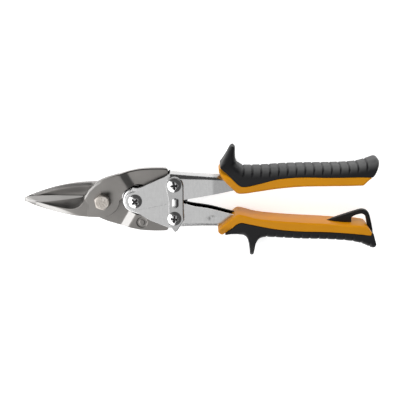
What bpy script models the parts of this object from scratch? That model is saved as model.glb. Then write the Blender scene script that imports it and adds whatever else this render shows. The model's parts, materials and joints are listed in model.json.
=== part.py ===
"""Aviation snips: compound-leverage sheet-metal snips, closed and latched.

The tool lies flat. X runs from the jaws' tips (-X) to the grips' ends (+X), +Y is the side of the upper
handle and +Z points away from the surface it lies on. The design is written in millimetres about the blade
pivot's axis, with Z = 0 in the plane where the blades shear, and one empty carries it to the object's own
frame: the middle of the bounding box, on the surface. Run with blender --background --python part.py.
"""
import math

import bmesh
import bpy
from mathutils import Matrix, Vector

# ---------------------------------------------------------------- driving dimensions, in millimetres
MM = 0.001                      # metres in a millimetre

TIP_X = -55.8                   # jaws' tips
END_X = 192.4                   # grips' far end
GUARD_Y = 39.3                  # tip of the thumb guard
SPUR_Y = -41.6                  # tip of the finger spur
GRIP_HALF = 10.3                # half thickness of both grips
REST_Z = -GRIP_HALF             # plane that the tool lies on

BLADE_ARM = 51.33               # blade pivot to tang screw
HANDLE_ARM = 29.93              # fulcrum to tang screw
FULCRUM_X = 22.5                # fulcrum's distance from the blade pivot, with the handles closed

GAP = 0.3                       # running gap between neighbouring pieces
BLADE_THICKNESS = 4.6           # hub of each blade
SHEAR_GAP = 0.15                # half the gap between the blades
TANG_HALF = 2.1                 # half thickness of a tang, centred on the shear plane
SHEET = 1.5                     # wall thickness of both channels
INNER_HALF = 4.0                # half width of the inner (lower) channel
OUTER_HALF = 5.8                # half width of the outer (upper) channel at the linkage
NECK_HALF = 5.0                 # half width of the outer channel inside its grip
LATCH_BACK = 6.5                # latch plate's back face
LATCH_SHEET = 1.2               # latch plate's thickness

HUB_RADIUS = 11.5               # lower right of the front blade's hub, about the blade pivot
NOSE_CLEARANCE = 9.8            # hollow of the hub round the handles' noses
INNER_NOSE = 9.0                # nose of the inner channel's walls
OUTER_NOSE = 7.0                # nose of the outer channel's walls
TANG_END = 5.2                  # round end of a tang, about its screw
SHOULDER_X = 45.2               # shoulder of a tang, which meets the channel's web when fully open

BOLT_RADIUS = 3.5               # blade pivot bolt's shank
BOLT_HEAD_RADIUS = 5.9          # across the hexagon's corners
BOLT_HEAD_HEIGHT = 4.4
LOOP_CLEARANCE = 0.45           # play of the rear blade on the bolt
SLEEVE_RADIUS = 3.0             # sleeve nuts
SCREW_RADIUS = 2.0              # screws' shanks, in the sleeves
HEAD_RADIUS = 4.85              # screws' heads
HEAD_HEIGHT = 1.9
SLEEVE_HEAD_HEIGHT = 1.7

WIRE_RADIUS = 0.7               # return spring
COIL_RADIUS = 5.0               # return spring, to the wire's middle
COIL_PITCH = 1.5
COIL_TURNS = 2.0

TONGUE_HALF = 7.6               # core's part inside the cover
LOOP_HALF = 2.5                 # half thickness of the hang loop

# ---------------------------------------------------------------- places worked out from them
FULCRUM = Vector((FULCRUM_X, 0.0))
_reach = (BLADE_ARM ** 2 - HANDLE_ARM ** 2 + FULCRUM_X ** 2) / (2 * FULCRUM_X)
UPPER_TANG = Vector((_reach, math.sqrt(BLADE_ARM ** 2 - _reach ** 2)))
LOWER_TANG = Vector((UPPER_TANG.x, -UPPER_TANG.y))
HUB_FRONT = SHEAR_GAP + BLADE_THICKNESS
LATCH_FRONT = LATCH_BACK + LATCH_SHEET
FRAME_SHIFT = Vector((-(TIP_X + END_X) / 2, -(GUARD_Y + SPUR_Y) / 2, -REST_Z))


# ---------------------------------------------------------------- outlines
def arc(centre, radius, start, end, steps=10):
    """Points on a circle from one angle to another, in degrees, counter-clockwise when end > start."""
    angles = [math.radians(start + (end - start) * i / steps) for i in range(steps + 1)]
    return [(centre[0] + radius * math.cos(a), centre[1] + radius * math.sin(a)) for a in angles]


def smooth(points, per_span=3):
    """Points on a Catmull-Rom curve through the given points."""
    ends = [points[0]] + list(points) + [points[-1]]
    curve = []
    for p0, p1, p2, p3 in zip(ends, ends[1:], ends[2:], ends[3:]):
        for i in range(per_span):
            t = i / per_span
            curve.append(tuple(
                0.5 * (2 * b + (c - a) * t + (2 * a - 5 * b + 4 * c - d) * t ** 2
                       + (3 * b - a - 3 * c + d) * t ** 3)
                for a, b, c, d in zip(p0, p1, p2, p3)))
    return curve + [tuple(points[-1])]


def shifted(points, dx, dy):
    """The same points moved."""
    return [(x + dx, y + dy) for x, y in points]


def circle(centre, radius, steps=24):
    """A closed circle."""
    return arc(centre, radius, 0, 360, steps)[:-1]


# ---------------------------------------------------------------- scene
def clear_scene():
    """Removes every object that is already there."""
    for obj in list(bpy.data.objects):
        bpy.data.objects.remove(obj, do_unlink=True)


def new_collection(name):
    """A collection linked to the scene."""
    collection = bpy.data.collections.new(name)
    bpy.context.scene.collection.children.link(collection)
    return collection


clear_scene()
PARTS = new_collection("aviation_snips")
CUTTERS = new_collection("cutters")


def material(name, colour, roughness, metallic=0.0):
    """A plain Principled material."""
    made = bpy.data.materials.new(name)
    made.use_nodes = True
    shader = made.node_tree.nodes["Principled BSDF"]
    shader.inputs["Base Color"].default_value = (*colour, 1.0)
    shader.inputs["Roughness"].default_value = roughness
    shader.inputs["Metallic"].default_value = metallic
    return made


def pivot(name, place, parent=None):
    """An empty at a point given in the design's millimetres."""
    empty = bpy.data.objects.new(name, None)
    empty.empty_display_size = 5 * MM
    PARTS.objects.link(empty)
    empty["place"] = [place[0], place[1], place[2]]
    empty.parent = parent
    start = Vector(parent["place"]) if parent else Vector((0.0, 0.0, 0.0))
    empty.location = (Vector(place) - start) * MM
    return empty


def add_object(name, mesh, collection):
    """An object for a mesh made in the design's millimetres, turned into metres."""
    mesh.transform(Matrix.Scale(MM, 4))
    obj = bpy.data.objects.new(name, mesh)
    collection.objects.link(obj)
    if collection is CUTTERS:
        obj.hide_render = True
        obj.display_type = "WIRE"
    return obj


def hang_on(obj, empty, look=None):
    """Parents a piece, with its cutters, to its body's pivot, moves its origin there and colours it."""
    place = Vector(empty["place"]) * MM
    obj.data.transform(Matrix.Translation(-place))
    obj.parent = empty
    for step in obj.modifiers:
        if step.type == "BOOLEAN":
            hang_on(step.object, empty)
    if look:
        obj.data.materials.append(look)
    return obj


# ---------------------------------------------------------------- solids
def plate(name, outline, low, high, collection=None, holes=(), across="Z", rounding=None):
    """An outline made thick between two levels.

    across is the direction of the thickness: Z for an outline in X and Y, Y for one in X and Z, X for one in
    Y and Z. rounding is (test, radius, segments): rim edges whose ends both pass the test are rounded.
    """
    curve = bpy.data.curves.new(name, "CURVE")
    curve.dimensions = "2D"
    curve.fill_mode = "BOTH"
    curve.extrude = (high - low) / 2
    for loop in (outline, *holes):
        spline = curve.splines.new("POLY")
        spline.points.add(len(loop) - 1)
        spline.use_cyclic_u = True
        for point, (x, y) in zip(spline.points, loop):
            point.co = (x, y, 0.0, 1.0)
    drawn = bpy.data.objects.new(name, curve)
    mesh = bpy.data.meshes.new_from_object(drawn)
    bpy.data.objects.remove(drawn)
    mesh.name = name
    mesh.transform(Matrix.Translation((0.0, 0.0, (low + high) / 2)))

    form = bmesh.new()
    form.from_mesh(mesh)
    bmesh.ops.remove_doubles(form, verts=form.verts, dist=0.001)
    bmesh.ops.dissolve_limit(form, angle_limit=0.001, verts=form.verts, edges=form.edges)
    if rounding:
        test, radius, segments = rounding
        rim = [e for e in form.edges
               if abs(e.verts[0].co.z - e.verts[1].co.z) < 1e-6
               and len(e.link_faces) == 2
               and abs(e.link_faces[0].normal.z) + abs(e.link_faces[1].normal.z) < 1.5
               and all(test(v.co) for v in e.verts)]
        bmesh.ops.bevel(form, geom=rim, offset=radius, segments=segments, profile=0.5,
                        affect="EDGES", clamp_overlap=True)
    bmesh.ops.recalc_face_normals(form, faces=form.faces)
    form.to_mesh(mesh)
    form.free()
    if across == "Y":
        mesh.transform(Matrix.Rotation(math.pi / 2, 4, "X"))
    if across == "X":
        mesh.transform(Matrix.Rotation(math.pi / 2, 4, "Z") @ Matrix.Rotation(math.pi / 2, 4, "X"))
    return add_object(name, mesh, collection or PARTS)


def turned(name, profile, place, collection=None, steps=28, closed=False):
    """A profile of (radius, height) points turned about Z through a place, with a Screw modifier.

    An open profile starts and ends on the axis, a closed one makes a ring.
    """
    mesh = bpy.data.meshes.new(name)
    points = [(r, 0.0, z) for r, z in profile]
    edges = [(i, i + 1) for i in range(len(points) - 1)]
    if closed:
        edges.append((len(points) - 1, 0))
    mesh.from_pydata(points, edges, [])
    obj = add_object(name, mesh, collection or PARTS)
    screw = obj.modifiers.new("turned", "SCREW")
    screw.axis = "Z"
    screw.steps = steps
    screw.render_steps = steps
    screw.use_merge_vertices = True
    screw.merge_threshold = 0.001 * MM
    screw.use_smooth_shade = False
    solid = bpy.data.meshes.new_from_object(
        obj.evaluated_get(bpy.context.evaluated_depsgraph_get()))
    obj.modifiers.clear()
    obj.data = solid
    solid.transform(Matrix.Translation(Vector((place[0], place[1], 0.0)) * MM))
    return obj


def hexagon(name, radius, low, high, collection=None):
    """A hexagonal prism about the blade pivot."""
    form = bmesh.new()
    bmesh.ops.create_cone(form, cap_ends=True, segments=6, radius1=radius, radius2=radius,
                          depth=high - low)
    bmesh.ops.translate(form, vec=(0.0, 0.0, (low + high) / 2), verts=form.verts)
    mesh = bpy.data.meshes.new(name)
    form.to_mesh(mesh)
    form.free()
    return add_object(name, mesh, collection or PARTS)


def combine(obj, other, how):
    """A Boolean with another solid: DIFFERENCE, UNION or INTERSECT."""
    step = obj.modifiers.new(other.name, "BOOLEAN")
    step.operation = how
    step.solver = "EXACT"
    step.object = other
    return obj


def shade_round(obj):
    """Smooth shading with sharp edges kept, on a round piece."""
    obj.data.shade_smooth()
    obj.data.set_sharp_from_angle(angle=math.radians(35))
    return obj


# ---------------------------------------------------------------- blades
def blade_outline():
    """The front blade seen from the front: jaw, hub, and the tang over the handles' noses."""
    jaw_under = smooth([(TIP_X, 0.9), (-54.6, -1.0), (-51.0, -3.1), (-45.5, -5.2), (-39.5, -7.2),
                        (-32.3, -9.2), (-24.0, -10.7), (-16.0, -11.5), (-8.0, -11.9), (0.6, -12.0)])
    hub = arc((0.0, 0.0), HUB_RADIUS, -80, 0, 8)
    hollow = arc(FULCRUM, NOSE_CLEARANCE, 176, 112, 7)
    tang_under = smooth([(24.5, 11.0), (31.0, 9.6), (38.0, 7.9)])
    end = arc(UPPER_TANG, TANG_END, -90, 140, 12)
    shoulder = [(SHOULDER_X, 16.6), (SHOULDER_X + 0.3, 21.4), (44.2, 22.6)]
    tang_top = smooth([(42.0, 22.8), (32.2, 22.7), (23.4, 21.9), (17.3, 20.4), (11.6, 19.1),
                       (5.6, 17.3), (-3.0, 13.8)])
    hub_left = [(-9.4, 8.2), (-12.4, 3.6)]
    cutting_edge = smooth([(-13.6, 2.7), (-23.4, 2.9), (-33.2, 3.0), (-43.0, 2.8), (-50.0, 2.5),
                           (-54.2, 1.9)])
    return (jaw_under + hub + hollow + tang_under + end + shoulder + tang_top + hub_left
            + cutting_edge)


def blade(name, bore_radius):
    """One blade, as the front one lies: an outline cut from a joggled bar, then ground."""
    obj = plate(name, blade_outline(), -6.0, 6.0,
                holes=[circle((0.0, 0.0), bore_radius), circle(UPPER_TANG, SLEEVE_RADIUS + GAP)])

    joggle_start = 19.6
    joggle_end = 24.6
    bar = plate(name + "_bar",
                [(-90.0, SHEAR_GAP), (joggle_start + 0.4, SHEAR_GAP), (joggle_end + 0.4, -TANG_HALF),
                 (90.0, -TANG_HALF), (90.0, TANG_HALF), (joggle_end, TANG_HALF),
                 (joggle_start, HUB_FRONT), (-90.0, HUB_FRONT)],
                -70.0, 70.0, CUTTERS, across="Y")
    bar.data.transform(Matrix.Rotation(math.radians(30), 4, "Z"))
    combine(obj, bar, "INTERSECT")

    jaw_face = plate(name + "_jaw_face",
                     [(TIP_X - 4, 1.6), (-12.6, 4.0), (-10.9, HUB_FRONT + 0.1), (-10.9, 9.0),
                      (TIP_X - 4, 9.0)],
                     -20.0, 5.0, CUTTERS, across="Y")
    combine(obj, jaw_face, "DIFFERENCE")

    grind = plate(name + "_grind", [(3.4, SHEAR_GAP), (-1.2, 5.6), (8.0, 5.6), (8.0, SHEAR_GAP)],
                  TIP_X - 4, -12.6, CUTTERS, across="X")
    combine(obj, grind, "DIFFERENCE")

    form = bmesh.new()
    bmesh.ops.create_uvsphere(form, u_segments=20, v_segments=10, radius=1.0)
    bmesh.ops.scale(form, vec=(15.0, 3.4, 1.6), verts=form.verts)
    bmesh.ops.rotate(form, cent=(0.0, 0.0, 0.0), verts=form.verts,
                     matrix=Matrix.Rotation(math.radians(-5), 3, "Z"))
    bmesh.ops.translate(form, vec=(-28.5, -3.4, 4.0), verts=form.verts)
    mesh = bpy.data.meshes.new(name + "_fuller")
    form.to_mesh(mesh)
    form.free()
    combine(obj, add_object(name + "_fuller", mesh, CUTTERS), "DIFFERENCE")
    return obj


def front_blade(body, steel):
    """Lower jaw and upper tang."""
    obj = blade("lower_jaw_blade", BOLT_RADIUS + GAP)
    hang_on(obj, body, steel)


def rear_blade(body, steel):
    """Upper jaw and lower tang: the same blade turned over about the tool's axis."""
    obj = blade("upper_jaw_blade", BOLT_RADIUS + LOOP_CLEARANCE)
    for solid in [obj] + [step.object for step in obj.modifiers]:
        solid.data.transform(Matrix.Rotation(math.pi, 4, "X"))
    round_mark = turned("round_mark", [(0.0, 2.6), (3.9, 2.6), (3.9, TANG_HALF - 0.4),
                                       (0.0, TANG_HALF - 0.4)], (26.8, -16.7), CUTTERS)
    combine(obj, round_mark, "DIFFERENCE")
    hang_on(obj, body, steel)


# ---------------------------------------------------------------- fasteners
def ring(name, place, inner, outer, low, high, body, steel):
    """Washer, spacer or collar."""
    obj = turned(name, [(inner, high), (outer, high), (outer, low), (inner, low)], place, closed=True)
    hang_on(shade_round(obj), body, steel)


def pivot_bolt(body, steel):
    """Hexagon-headed bolt through both blades."""
    low = HUB_FRONT + 0.2
    obj = hexagon("pivot_bolt", BOLT_HEAD_RADIUS, low, low + BOLT_HEAD_HEIGHT)
    chamfer = turned("bolt_chamfer", [(0.0, low + BOLT_HEAD_HEIGHT), (4.9, low + BOLT_HEAD_HEIGHT),
                                      (7.4, low + BOLT_HEAD_HEIGHT - 1.3), (7.4, low - 0.5),
                                      (0.0, low - 0.5)], (0.0, 0.0), CUTTERS, steps=48)
    combine(obj, chamfer, "INTERSECT")
    shank = turned("bolt_shank", [(0.0, low + 1.0), (BOLT_RADIUS, low + 1.0),
                                  (BOLT_RADIUS, REST_Z + 1.0), (0.0, REST_Z + 1.0)],
                   (0.0, 0.0), CUTTERS)
    combine(obj, shank, "UNION")
    hang_on(obj, body, steel)


def pivot_washer(body, steel):
    """Plain washer behind the rear blade."""
    high = -HUB_FRONT - 0.25
    inner = BOLT_RADIUS + GAP
    ring("pivot_washer", (0.0, 0.0), inner, 7.0, high - 0.8, high, body, steel)


def pivot_nut(body, steel):
    """Lock nut, which also carries the blades' end of the tool when it lies down."""
    high = -HUB_FRONT - 1.3
    obj = hexagon("pivot_nut", BOLT_HEAD_RADIUS, REST_Z, high)
    thread = turned("nut_thread", [(0.0, high + 1.0), (BOLT_RADIUS + 0.25, high + 1.0),
                                   (BOLT_RADIUS + 0.25, REST_Z - 1.0), (0.0, REST_Z - 1.0)],
                    (0.0, 0.0), CUTTERS)
    combine(obj, thread, "DIFFERENCE")
    hang_on(obj, body, steel)


def cross_screw(name, place, seat, turn, body, steel):
    """Domed screw with a cross recess; seat is the level under its head."""
    dome = [(HEAD_RADIUS * math.cos(math.radians(a)), seat + 0.6
             + (HEAD_HEIGHT - 0.6) * math.sin(math.radians(a))) for a in (90, 72, 54, 36, 18, 0)]
    dome[0] = (0.0, seat + HEAD_HEIGHT)
    profile = dome + [(HEAD_RADIUS, seat), (SCREW_RADIUS, seat), (SCREW_RADIUS, seat - 5.0),
                      (0.0, seat - 5.0)]
    obj = turned(name, profile, place)
    for angle in (turn, turn + 90):
        form = bmesh.new()
        bmesh.ops.create_cube(form, size=1.0)
        bmesh.ops.scale(form, vec=(5.0, 1.0, 2.4), verts=form.verts)
        bmesh.ops.rotate(form, cent=(0.0, 0.0, 0.0), verts=form.verts,
                         matrix=Matrix.Rotation(math.radians(angle), 3, "Z"))
        bmesh.ops.translate(form, vec=(place[0], place[1], seat + HEAD_HEIGHT), verts=form.verts)
        mesh = bpy.data.meshes.new(name + "_recess")
        form.to_mesh(mesh)
        form.free()
        combine(obj, add_object(name + "_recess", mesh, CUTTERS), "DIFFERENCE")
    hang_on(obj, body, steel)


def sleeve(name, place, wall, front, body, steel):
    """Headed sleeve nut from the rear: wall is the half width it sits on, front its open end."""
    seat = -wall - 0.2
    low = seat - SLEEVE_HEAD_HEIGHT
    bore = SCREW_RADIUS + 0.25
    obj = turned(name, [(0.0, low + 1.2), (bore, low + 1.2), (bore, front), (SLEEVE_RADIUS, front),
                        (SLEEVE_RADIUS, seat), (HEAD_RADIUS, seat), (HEAD_RADIUS, low + 0.7),
                        (HEAD_RADIUS - 1.2, low), (0.0, low)], place)
    hang_on(shade_round(obj), body, steel)


# ---------------------------------------------------------------- handles
def upper_wall_outline():
    """Wall of the outer channel: nose over the fulcrum, top and bottom edges into the grip."""
    lower_edge = smooth([(26.0, -6.0), (32.8, -4.8), (44.9, -2.1), (58.7, 1.4), (74.7, 4.2),
                         (84.0, 6.1), (94.0, 8.2), (106.0, 9.8), (122.0, 12.2), (137.0, 13.4),
                         (170.0, 14.2)])
    web = smooth([(170.0, 20.4), (150.0, 20.2), (127.0, 19.6), (110.0, 18.2), (95.0, 17.2),
                  (78.3, 17.6), (60.7, 19.1), (48.0, 20.2)])
    tang_edge = [(47.2, 19.6), (43.6, 17.8), (31.7, 12.4), (24.6, 9.4), (21.4, 10.0)]
    nose = arc(FULCRUM, OUTER_NOSE, 140, 295, 14)
    return lower_edge + web + tang_edge + nose


def lower_wall_outline():
    """Wall of the inner channel."""
    top_edge = smooth([(26.0, 8.2), (40.0, 3.6), (58.6, -2.6), (74.7, -5.4), (90.9, -9.6),
                       (106.0, -12.7), (122.0, -15.1), (140.0, -16.3), (170.0, -18.0)])
    web = smooth([(170.0, -24.8), (151.0, -24.4), (131.0, -23.6), (115.0, -22.4), (97.0, -20.6),
                  (81.1, -20.1), (67.7, -20.2), (50.5, -20.6)])
    tang_edge = [(48.6, -20.2), (45.9, -20.2), (38.2, -16.9), (30.5, -13.4), (26.0, -10.3)]
    nose = arc(FULCRUM, INNER_NOSE, -88, -290, 16)
    return top_edge + web + tang_edge + nose


def plan(half, neck, reach):
    """Seen from above, a channel's half width narrowing to its neck, as an outline in X and Z."""
    side = [(-5.0, half), (76.0, half), (80.5, neck), (190.0, neck)]
    return [(x, z + reach) for x, z in side] + [(x, -z - reach) for x, z in side[::-1]]


def channel(name, outline, half, neck, web_start, cavity, holes):
    """A pressed channel: outline plate with rounded web bends, hollowed from its open side.

    half and neck are its half widths at the linkage and in the grip; the web runs from web_start on.
    """
    def on_web(point):
        return web_start < point.x < 169.9 and abs(point.y) > 16.9

    obj = plate(name, outline, -half, half, holes=holes, rounding=(on_web, 1.8, 3))
    hollow = plate(name + "_hollow", cavity, -half + SHEET, half - SHEET, CUTTERS)
    if neck < half:
        squeeze = plate(name + "_neck", plan(half, neck, 0.0), -60.0, 60.0, CUTTERS, across="Y")
        throat = plate(name + "_throat", plan(half, neck, -SHEET), -60.0, 60.0, CUTTERS, across="Y")
        combine(obj, squeeze, "INTERSECT")
        combine(hollow, throat, "INTERSECT")
    combine(obj, hollow, "DIFFERENCE")
    return obj


def upper_channel(body, chrome):
    """Outer channel; its web starts behind the tang's shoulder."""
    under_web = shifted(smooth([(172.0, 20.4), (150.0, 20.2), (127.0, 19.6), (110.0, 18.2),
                                (95.0, 17.2), (78.3, 17.6), (60.7, 19.1), (50.0, 20.0)]), 0, -SHEET)
    cavity = under_web + [(47.9, 18.6), (47.9, 30.0), (0.0, 30.0), (0.0, -20.0), (172.0, -20.0)]
    holes = [circle(FULCRUM, SLEEVE_RADIUS + GAP), circle(UPPER_TANG, SLEEVE_RADIUS + GAP)]
    obj = channel("upper_handle_channel", upper_wall_outline(), OUTER_HALF, NECK_HALF, 48.5,
                  cavity, holes)
    hang_on(obj, body, chrome)


def lower_channel(body, chrome):
    """Inner channel; its nose sits between the outer channel's walls."""
    under_web = shifted(smooth([(172.0, -24.8), (151.0, -24.4), (131.0, -23.6), (115.0, -22.4),
                                (97.0, -20.6), (81.1, -20.1), (67.7, -20.2), (52.0, -20.6)]), 0, SHEET)
    cavity = under_web + [(49.4, -19.1), (49.4, -30.0), (0.0, -30.0), (0.0, 20.0), (172.0, 20.0)]
    holes = [circle(FULCRUM, SLEEVE_RADIUS + GAP), circle(LOWER_TANG, SLEEVE_RADIUS + GAP)]
    obj = channel("lower_handle_channel", lower_wall_outline(), INNER_HALF, INNER_HALF, 51.0,
                  cavity, holes)
    hang_on(obj, body, chrome)


def latch_plate(body, chrome):
    """Latch: round top on the upper tang's screw, a waist, and a hook round the lower sleeve."""
    outline = (arc(UPPER_TANG, 6.0, 176, 20, 12)
               + [(56.2, 12.0), (56.3, -8.6), (56.8, -13.3)]
               + arc((50.5, -20.2), 1.7, -30, -150, 5)
               + [(45.9, -16.6), (45.7, -5.9), (45.8, 0.8), (43.9, 10.6)])
    obj = plate("latch_plate", outline, LATCH_BACK, LATCH_FRONT,
                holes=[circle(UPPER_TANG, SLEEVE_RADIUS + GAP)])
    half_slot = SLEEVE_RADIUS + 0.45
    way_out = [LOWER_TANG + Vector((-9.0, -2.9 - half_slot)), LOWER_TANG + Vector((-9.0, -2.9 + half_slot))]
    slot = plate("latch_slot", way_out + arc(LOWER_TANG, half_slot, 105, -105, 14),
                 LATCH_BACK - 1.0, LATCH_FRONT + 1.0, CUTTERS)
    combine(obj, slot, "DIFFERENCE")
    hang_on(obj, body, chrome)


def return_spring(body, steel):
    """Torsion spring: a coil round the fulcrum and two legs that press the handles apart.

    The coil's points follow a helix; each leg is straight to its handle's wall and ends in a foot that hooks
    the wall's edge, one to the front and one to the rear.
    """
    foot_x = 58.4
    upper_foot_y = 0.3
    lower_foot_y = -1.5
    lean = math.degrees(math.atan2(COIL_RADIUS, foot_x - FULCRUM_X))
    half_height = COIL_PITCH * COIL_TURNS / 2
    steps = 34

    def leg(foot_y, front):
        """Foot first: a hook round the wall's edge, then the straight leg's end."""
        return [(foot_x, foot_y, front * (OUTER_HALF + 0.6)), (foot_x, foot_y, front * (half_height + 0.9)),
                (foot_x - 0.8, foot_y, front * half_height)]

    points = leg(upper_foot_y, 1)
    for i in range(steps + 1):
        angle = math.radians(90.0 - lean + (360.0 * COIL_TURNS + 180.0 + 2 * lean) * i / steps)
        points.append((FULCRUM_X + COIL_RADIUS * math.cos(angle), COIL_RADIUS * math.sin(angle),
                       half_height * (1 - 2 * i / steps)))
    points += leg(lower_foot_y, -1)[::-1]

    curve = bpy.data.curves.new("return_spring", "CURVE")
    curve.dimensions = "3D"
    curve.bevel_depth = WIRE_RADIUS
    curve.bevel_resolution = 2
    curve.use_fill_caps = True
    spline = curve.splines.new("POLY")
    spline.points.add(len(points) - 1)
    for point, co in zip(spline.points, points):
        point.co = (*co, 1.0)
    drawn = bpy.data.objects.new("spring_path", curve)
    mesh = bpy.data.meshes.new_from_object(drawn)
    bpy.data.objects.remove(drawn)
    mesh.name = "return_spring"
    form = bmesh.new()
    form.from_mesh(mesh)
    bmesh.ops.remove_doubles(form, verts=form.verts, dist=0.001)
    bmesh.ops.recalc_face_normals(form, faces=form.faces)
    form.to_mesh(mesh)
    form.free()
    obj = add_object("return_spring", mesh, PARTS)
    hang_on(shade_round(obj), body, steel)


# ---------------------------------------------------------------- grips
def upper_border():
    """Line between the upper grip's orange core and black cover, from the flange to the far end."""
    return smooth([(81.6, 25.4), (86.0, 20.7), (90.4, 16.3), (94.0, 12.8), (96.2, 11.6), (99.0, 11.5),
                   (110.1, 13.9), (121.9, 17.0), (136.3, 18.2), (158.5, 18.0), (178.5, 18.4),
                   (186.6, 18.0)], 2)


def lower_border():
    """The same line on the lower grip."""
    return smooth([(85.3, -22.6), (90.0, -18.5), (94.4, -15.0), (96.8, -14.4), (109.2, -17.0),
                   (121.9, -19.3), (137.5, -20.7), (160.2, -21.4), (178.0, -22.8), (187.6, -23.9)], 3)


def upper_core(body, orange):
    """Orange core: flange and inner side full width, a tongue inside the cover, a pocket for the channel."""
    inner_face = smooth([(91.7, 8.1), (94.0, 6.5), (97.0, 6.5), (106.3, 7.7), (122.1, 10.1), (136.6, 11.4),
                         (155.0, 11.8), (176.0, 12.1), (182.0, 13.6), (186.2, 17.4)], 2)
    flange = [(80.1, 24.6), (80.4, 20.7), (81.7, 18.5)]
    outline = inner_face + upper_border()[-2::-1] + flange
    obj = plate("upper_grip_core", outline, -GRIP_HALF, GRIP_HALF,
                rounding=(lambda v: v.y < 11.9 and v.x > 97.5, 1.2, 2))
    tongue = plate("upper_tongue",
                   smooth([(84.5, 20.0), (95.0, 20.2), (110.0, 21.0), (127.0, 22.3), (150.0, 22.9),
                           (180.0, 23.4)]) + [(181.0, 18.0), (181.0, 16.0), (130.0, 15.5), (98.0, 9.5),
                                              (90.0, 14.0)],
                   -TONGUE_HALF, TONGUE_HALF, CUTTERS)
    combine(obj, tongue, "UNION")
    over = shifted(smooth([(78.3, 17.6), (95.0, 17.2), (110.0, 18.2), (127.0, 19.6), (150.0, 20.2),
                           (170.4, 20.4)]), 0, GAP + 0.1)
    under = shifted(smooth([(170.4, 14.2), (137.0, 13.4), (122.0, 12.2), (106.0, 9.8), (94.0, 8.2),
                            (84.0, 6.1), (76.0, 4.4)]), 0, -GAP - 0.1)
    pocket = plate("upper_pocket", over + under, -NECK_HALF - GAP, NECK_HALF + GAP, CUTTERS)
    combine(obj, pocket, "DIFFERENCE")
    mouth = plate("upper_mouth", [(70.0, 2.0), (83.6, 2.0), (83.6, 5.0), (80.9, 30.0), (70.0, 30.0)],
                  -OUTER_HALF - GAP, OUTER_HALF + GAP, CUTTERS)
    combine(obj, mouth, "DIFFERENCE")
    hang_on(obj, body, orange)


def upper_cover(body, black):
    """Black cover: thumb guard, back of the grip and its upturned end, hollow for the core's tongue."""
    guard = [(81.8, 26.2), (84.4, 31.2), (87.6, 37.0)] + arc((89.6, GUARD_Y - 2.0), 2.0, 150, 0, 5)
    top = smooth([(91.7, 34.0), (92.1, 30.6), (93.8, 26.6), (97.6, 23.9), (109.5, 24.0), (127.0, 25.1),
                  (151.2, 25.5), (169.3, 26.1), (178.0, 27.4), (188.0, 31.0)])
    end = arc((189.6, 28.4), END_X - 189.6, 100, -10, 6) + [(190.9, 23.4), (188.6, 19.6)]
    outline = guard + top + end + shifted(upper_border()[::-1], 0.1, 0.4)
    obj = plate("upper_grip_cover", outline, -GRIP_HALF, GRIP_HALF,
                rounding=(lambda v: v.y > 22.4 and v.x > 93.0, 3.0, 3))
    tongue_top = shifted(smooth([(84.5, 20.0), (95.0, 20.2), (110.0, 21.0), (127.0, 22.3),
                                 (150.0, 22.9), (180.0, 23.4)]), 0, GAP + 0.05)
    pocket = plate("upper_cover_pocket",
                   [(80.0, 15.0)] + tongue_top + [(181.4, 23.4), (181.4, 10.0), (90.0, 5.0)],
                   -TONGUE_HALF - GAP, TONGUE_HALF + GAP, CUTTERS)
    combine(obj, pocket, "DIFFERENCE")
    hang_on(obj, body, black)


def lower_core(body, orange):
    """Orange core of the lower grip."""
    inner_face = smooth([(187.8, -21.6), (184.6, -17.8), (181.0, -17.0), (168.5, -16.3), (155.8, -15.3),
                         (137.4, -14.3), (121.8, -13.2), (104.9, -11.0), (97.0, -8.9), (93.4, -8.6)], 2)
    flange = [(81.2, -18.8), (80.4, -20.4), (80.6, -23.4), (81.8, -24.6), (84.6, -24.8)]
    outline = inner_face + flange + lower_border()[:-1]
    obj = plate("lower_grip_core", outline, -GRIP_HALF, GRIP_HALF,
                rounding=(lambda v: v.y > -17.1 and 97.5 < v.x < 180.0, 1.2, 2))
    tongue = plate("lower_tongue",
                   smooth([(88.0, -22.9), (97.0, -22.9), (115.0, -24.6), (131.0, -25.8), (151.0, -26.4),
                           (180.0, -27.6)]) + [(181.2, -20.3), (130.0, -18.4), (98.0, -13.2)],
                   -TONGUE_HALF, TONGUE_HALF, CUTTERS)
    combine(obj, tongue, "UNION")
    over = shifted(smooth([(76.0, -5.6), (90.9, -9.6), (106.0, -12.7), (122.0, -15.1), (140.0, -16.3),
                           (170.4, -18.0)]), 0, GAP + 0.1)
    under = shifted(smooth([(170.4, -24.8), (151.0, -24.4), (131.0, -23.6), (115.0, -22.4),
                            (97.0, -20.6), (81.1, -20.1), (70.0, -20.2)]), 0, -GAP - 0.1)
    pocket = plate("lower_pocket", over + under, -INNER_HALF - GAP, INNER_HALF + GAP, CUTTERS)
    combine(obj, pocket, "DIFFERENCE")
    hang_on(obj, body, orange)


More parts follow.
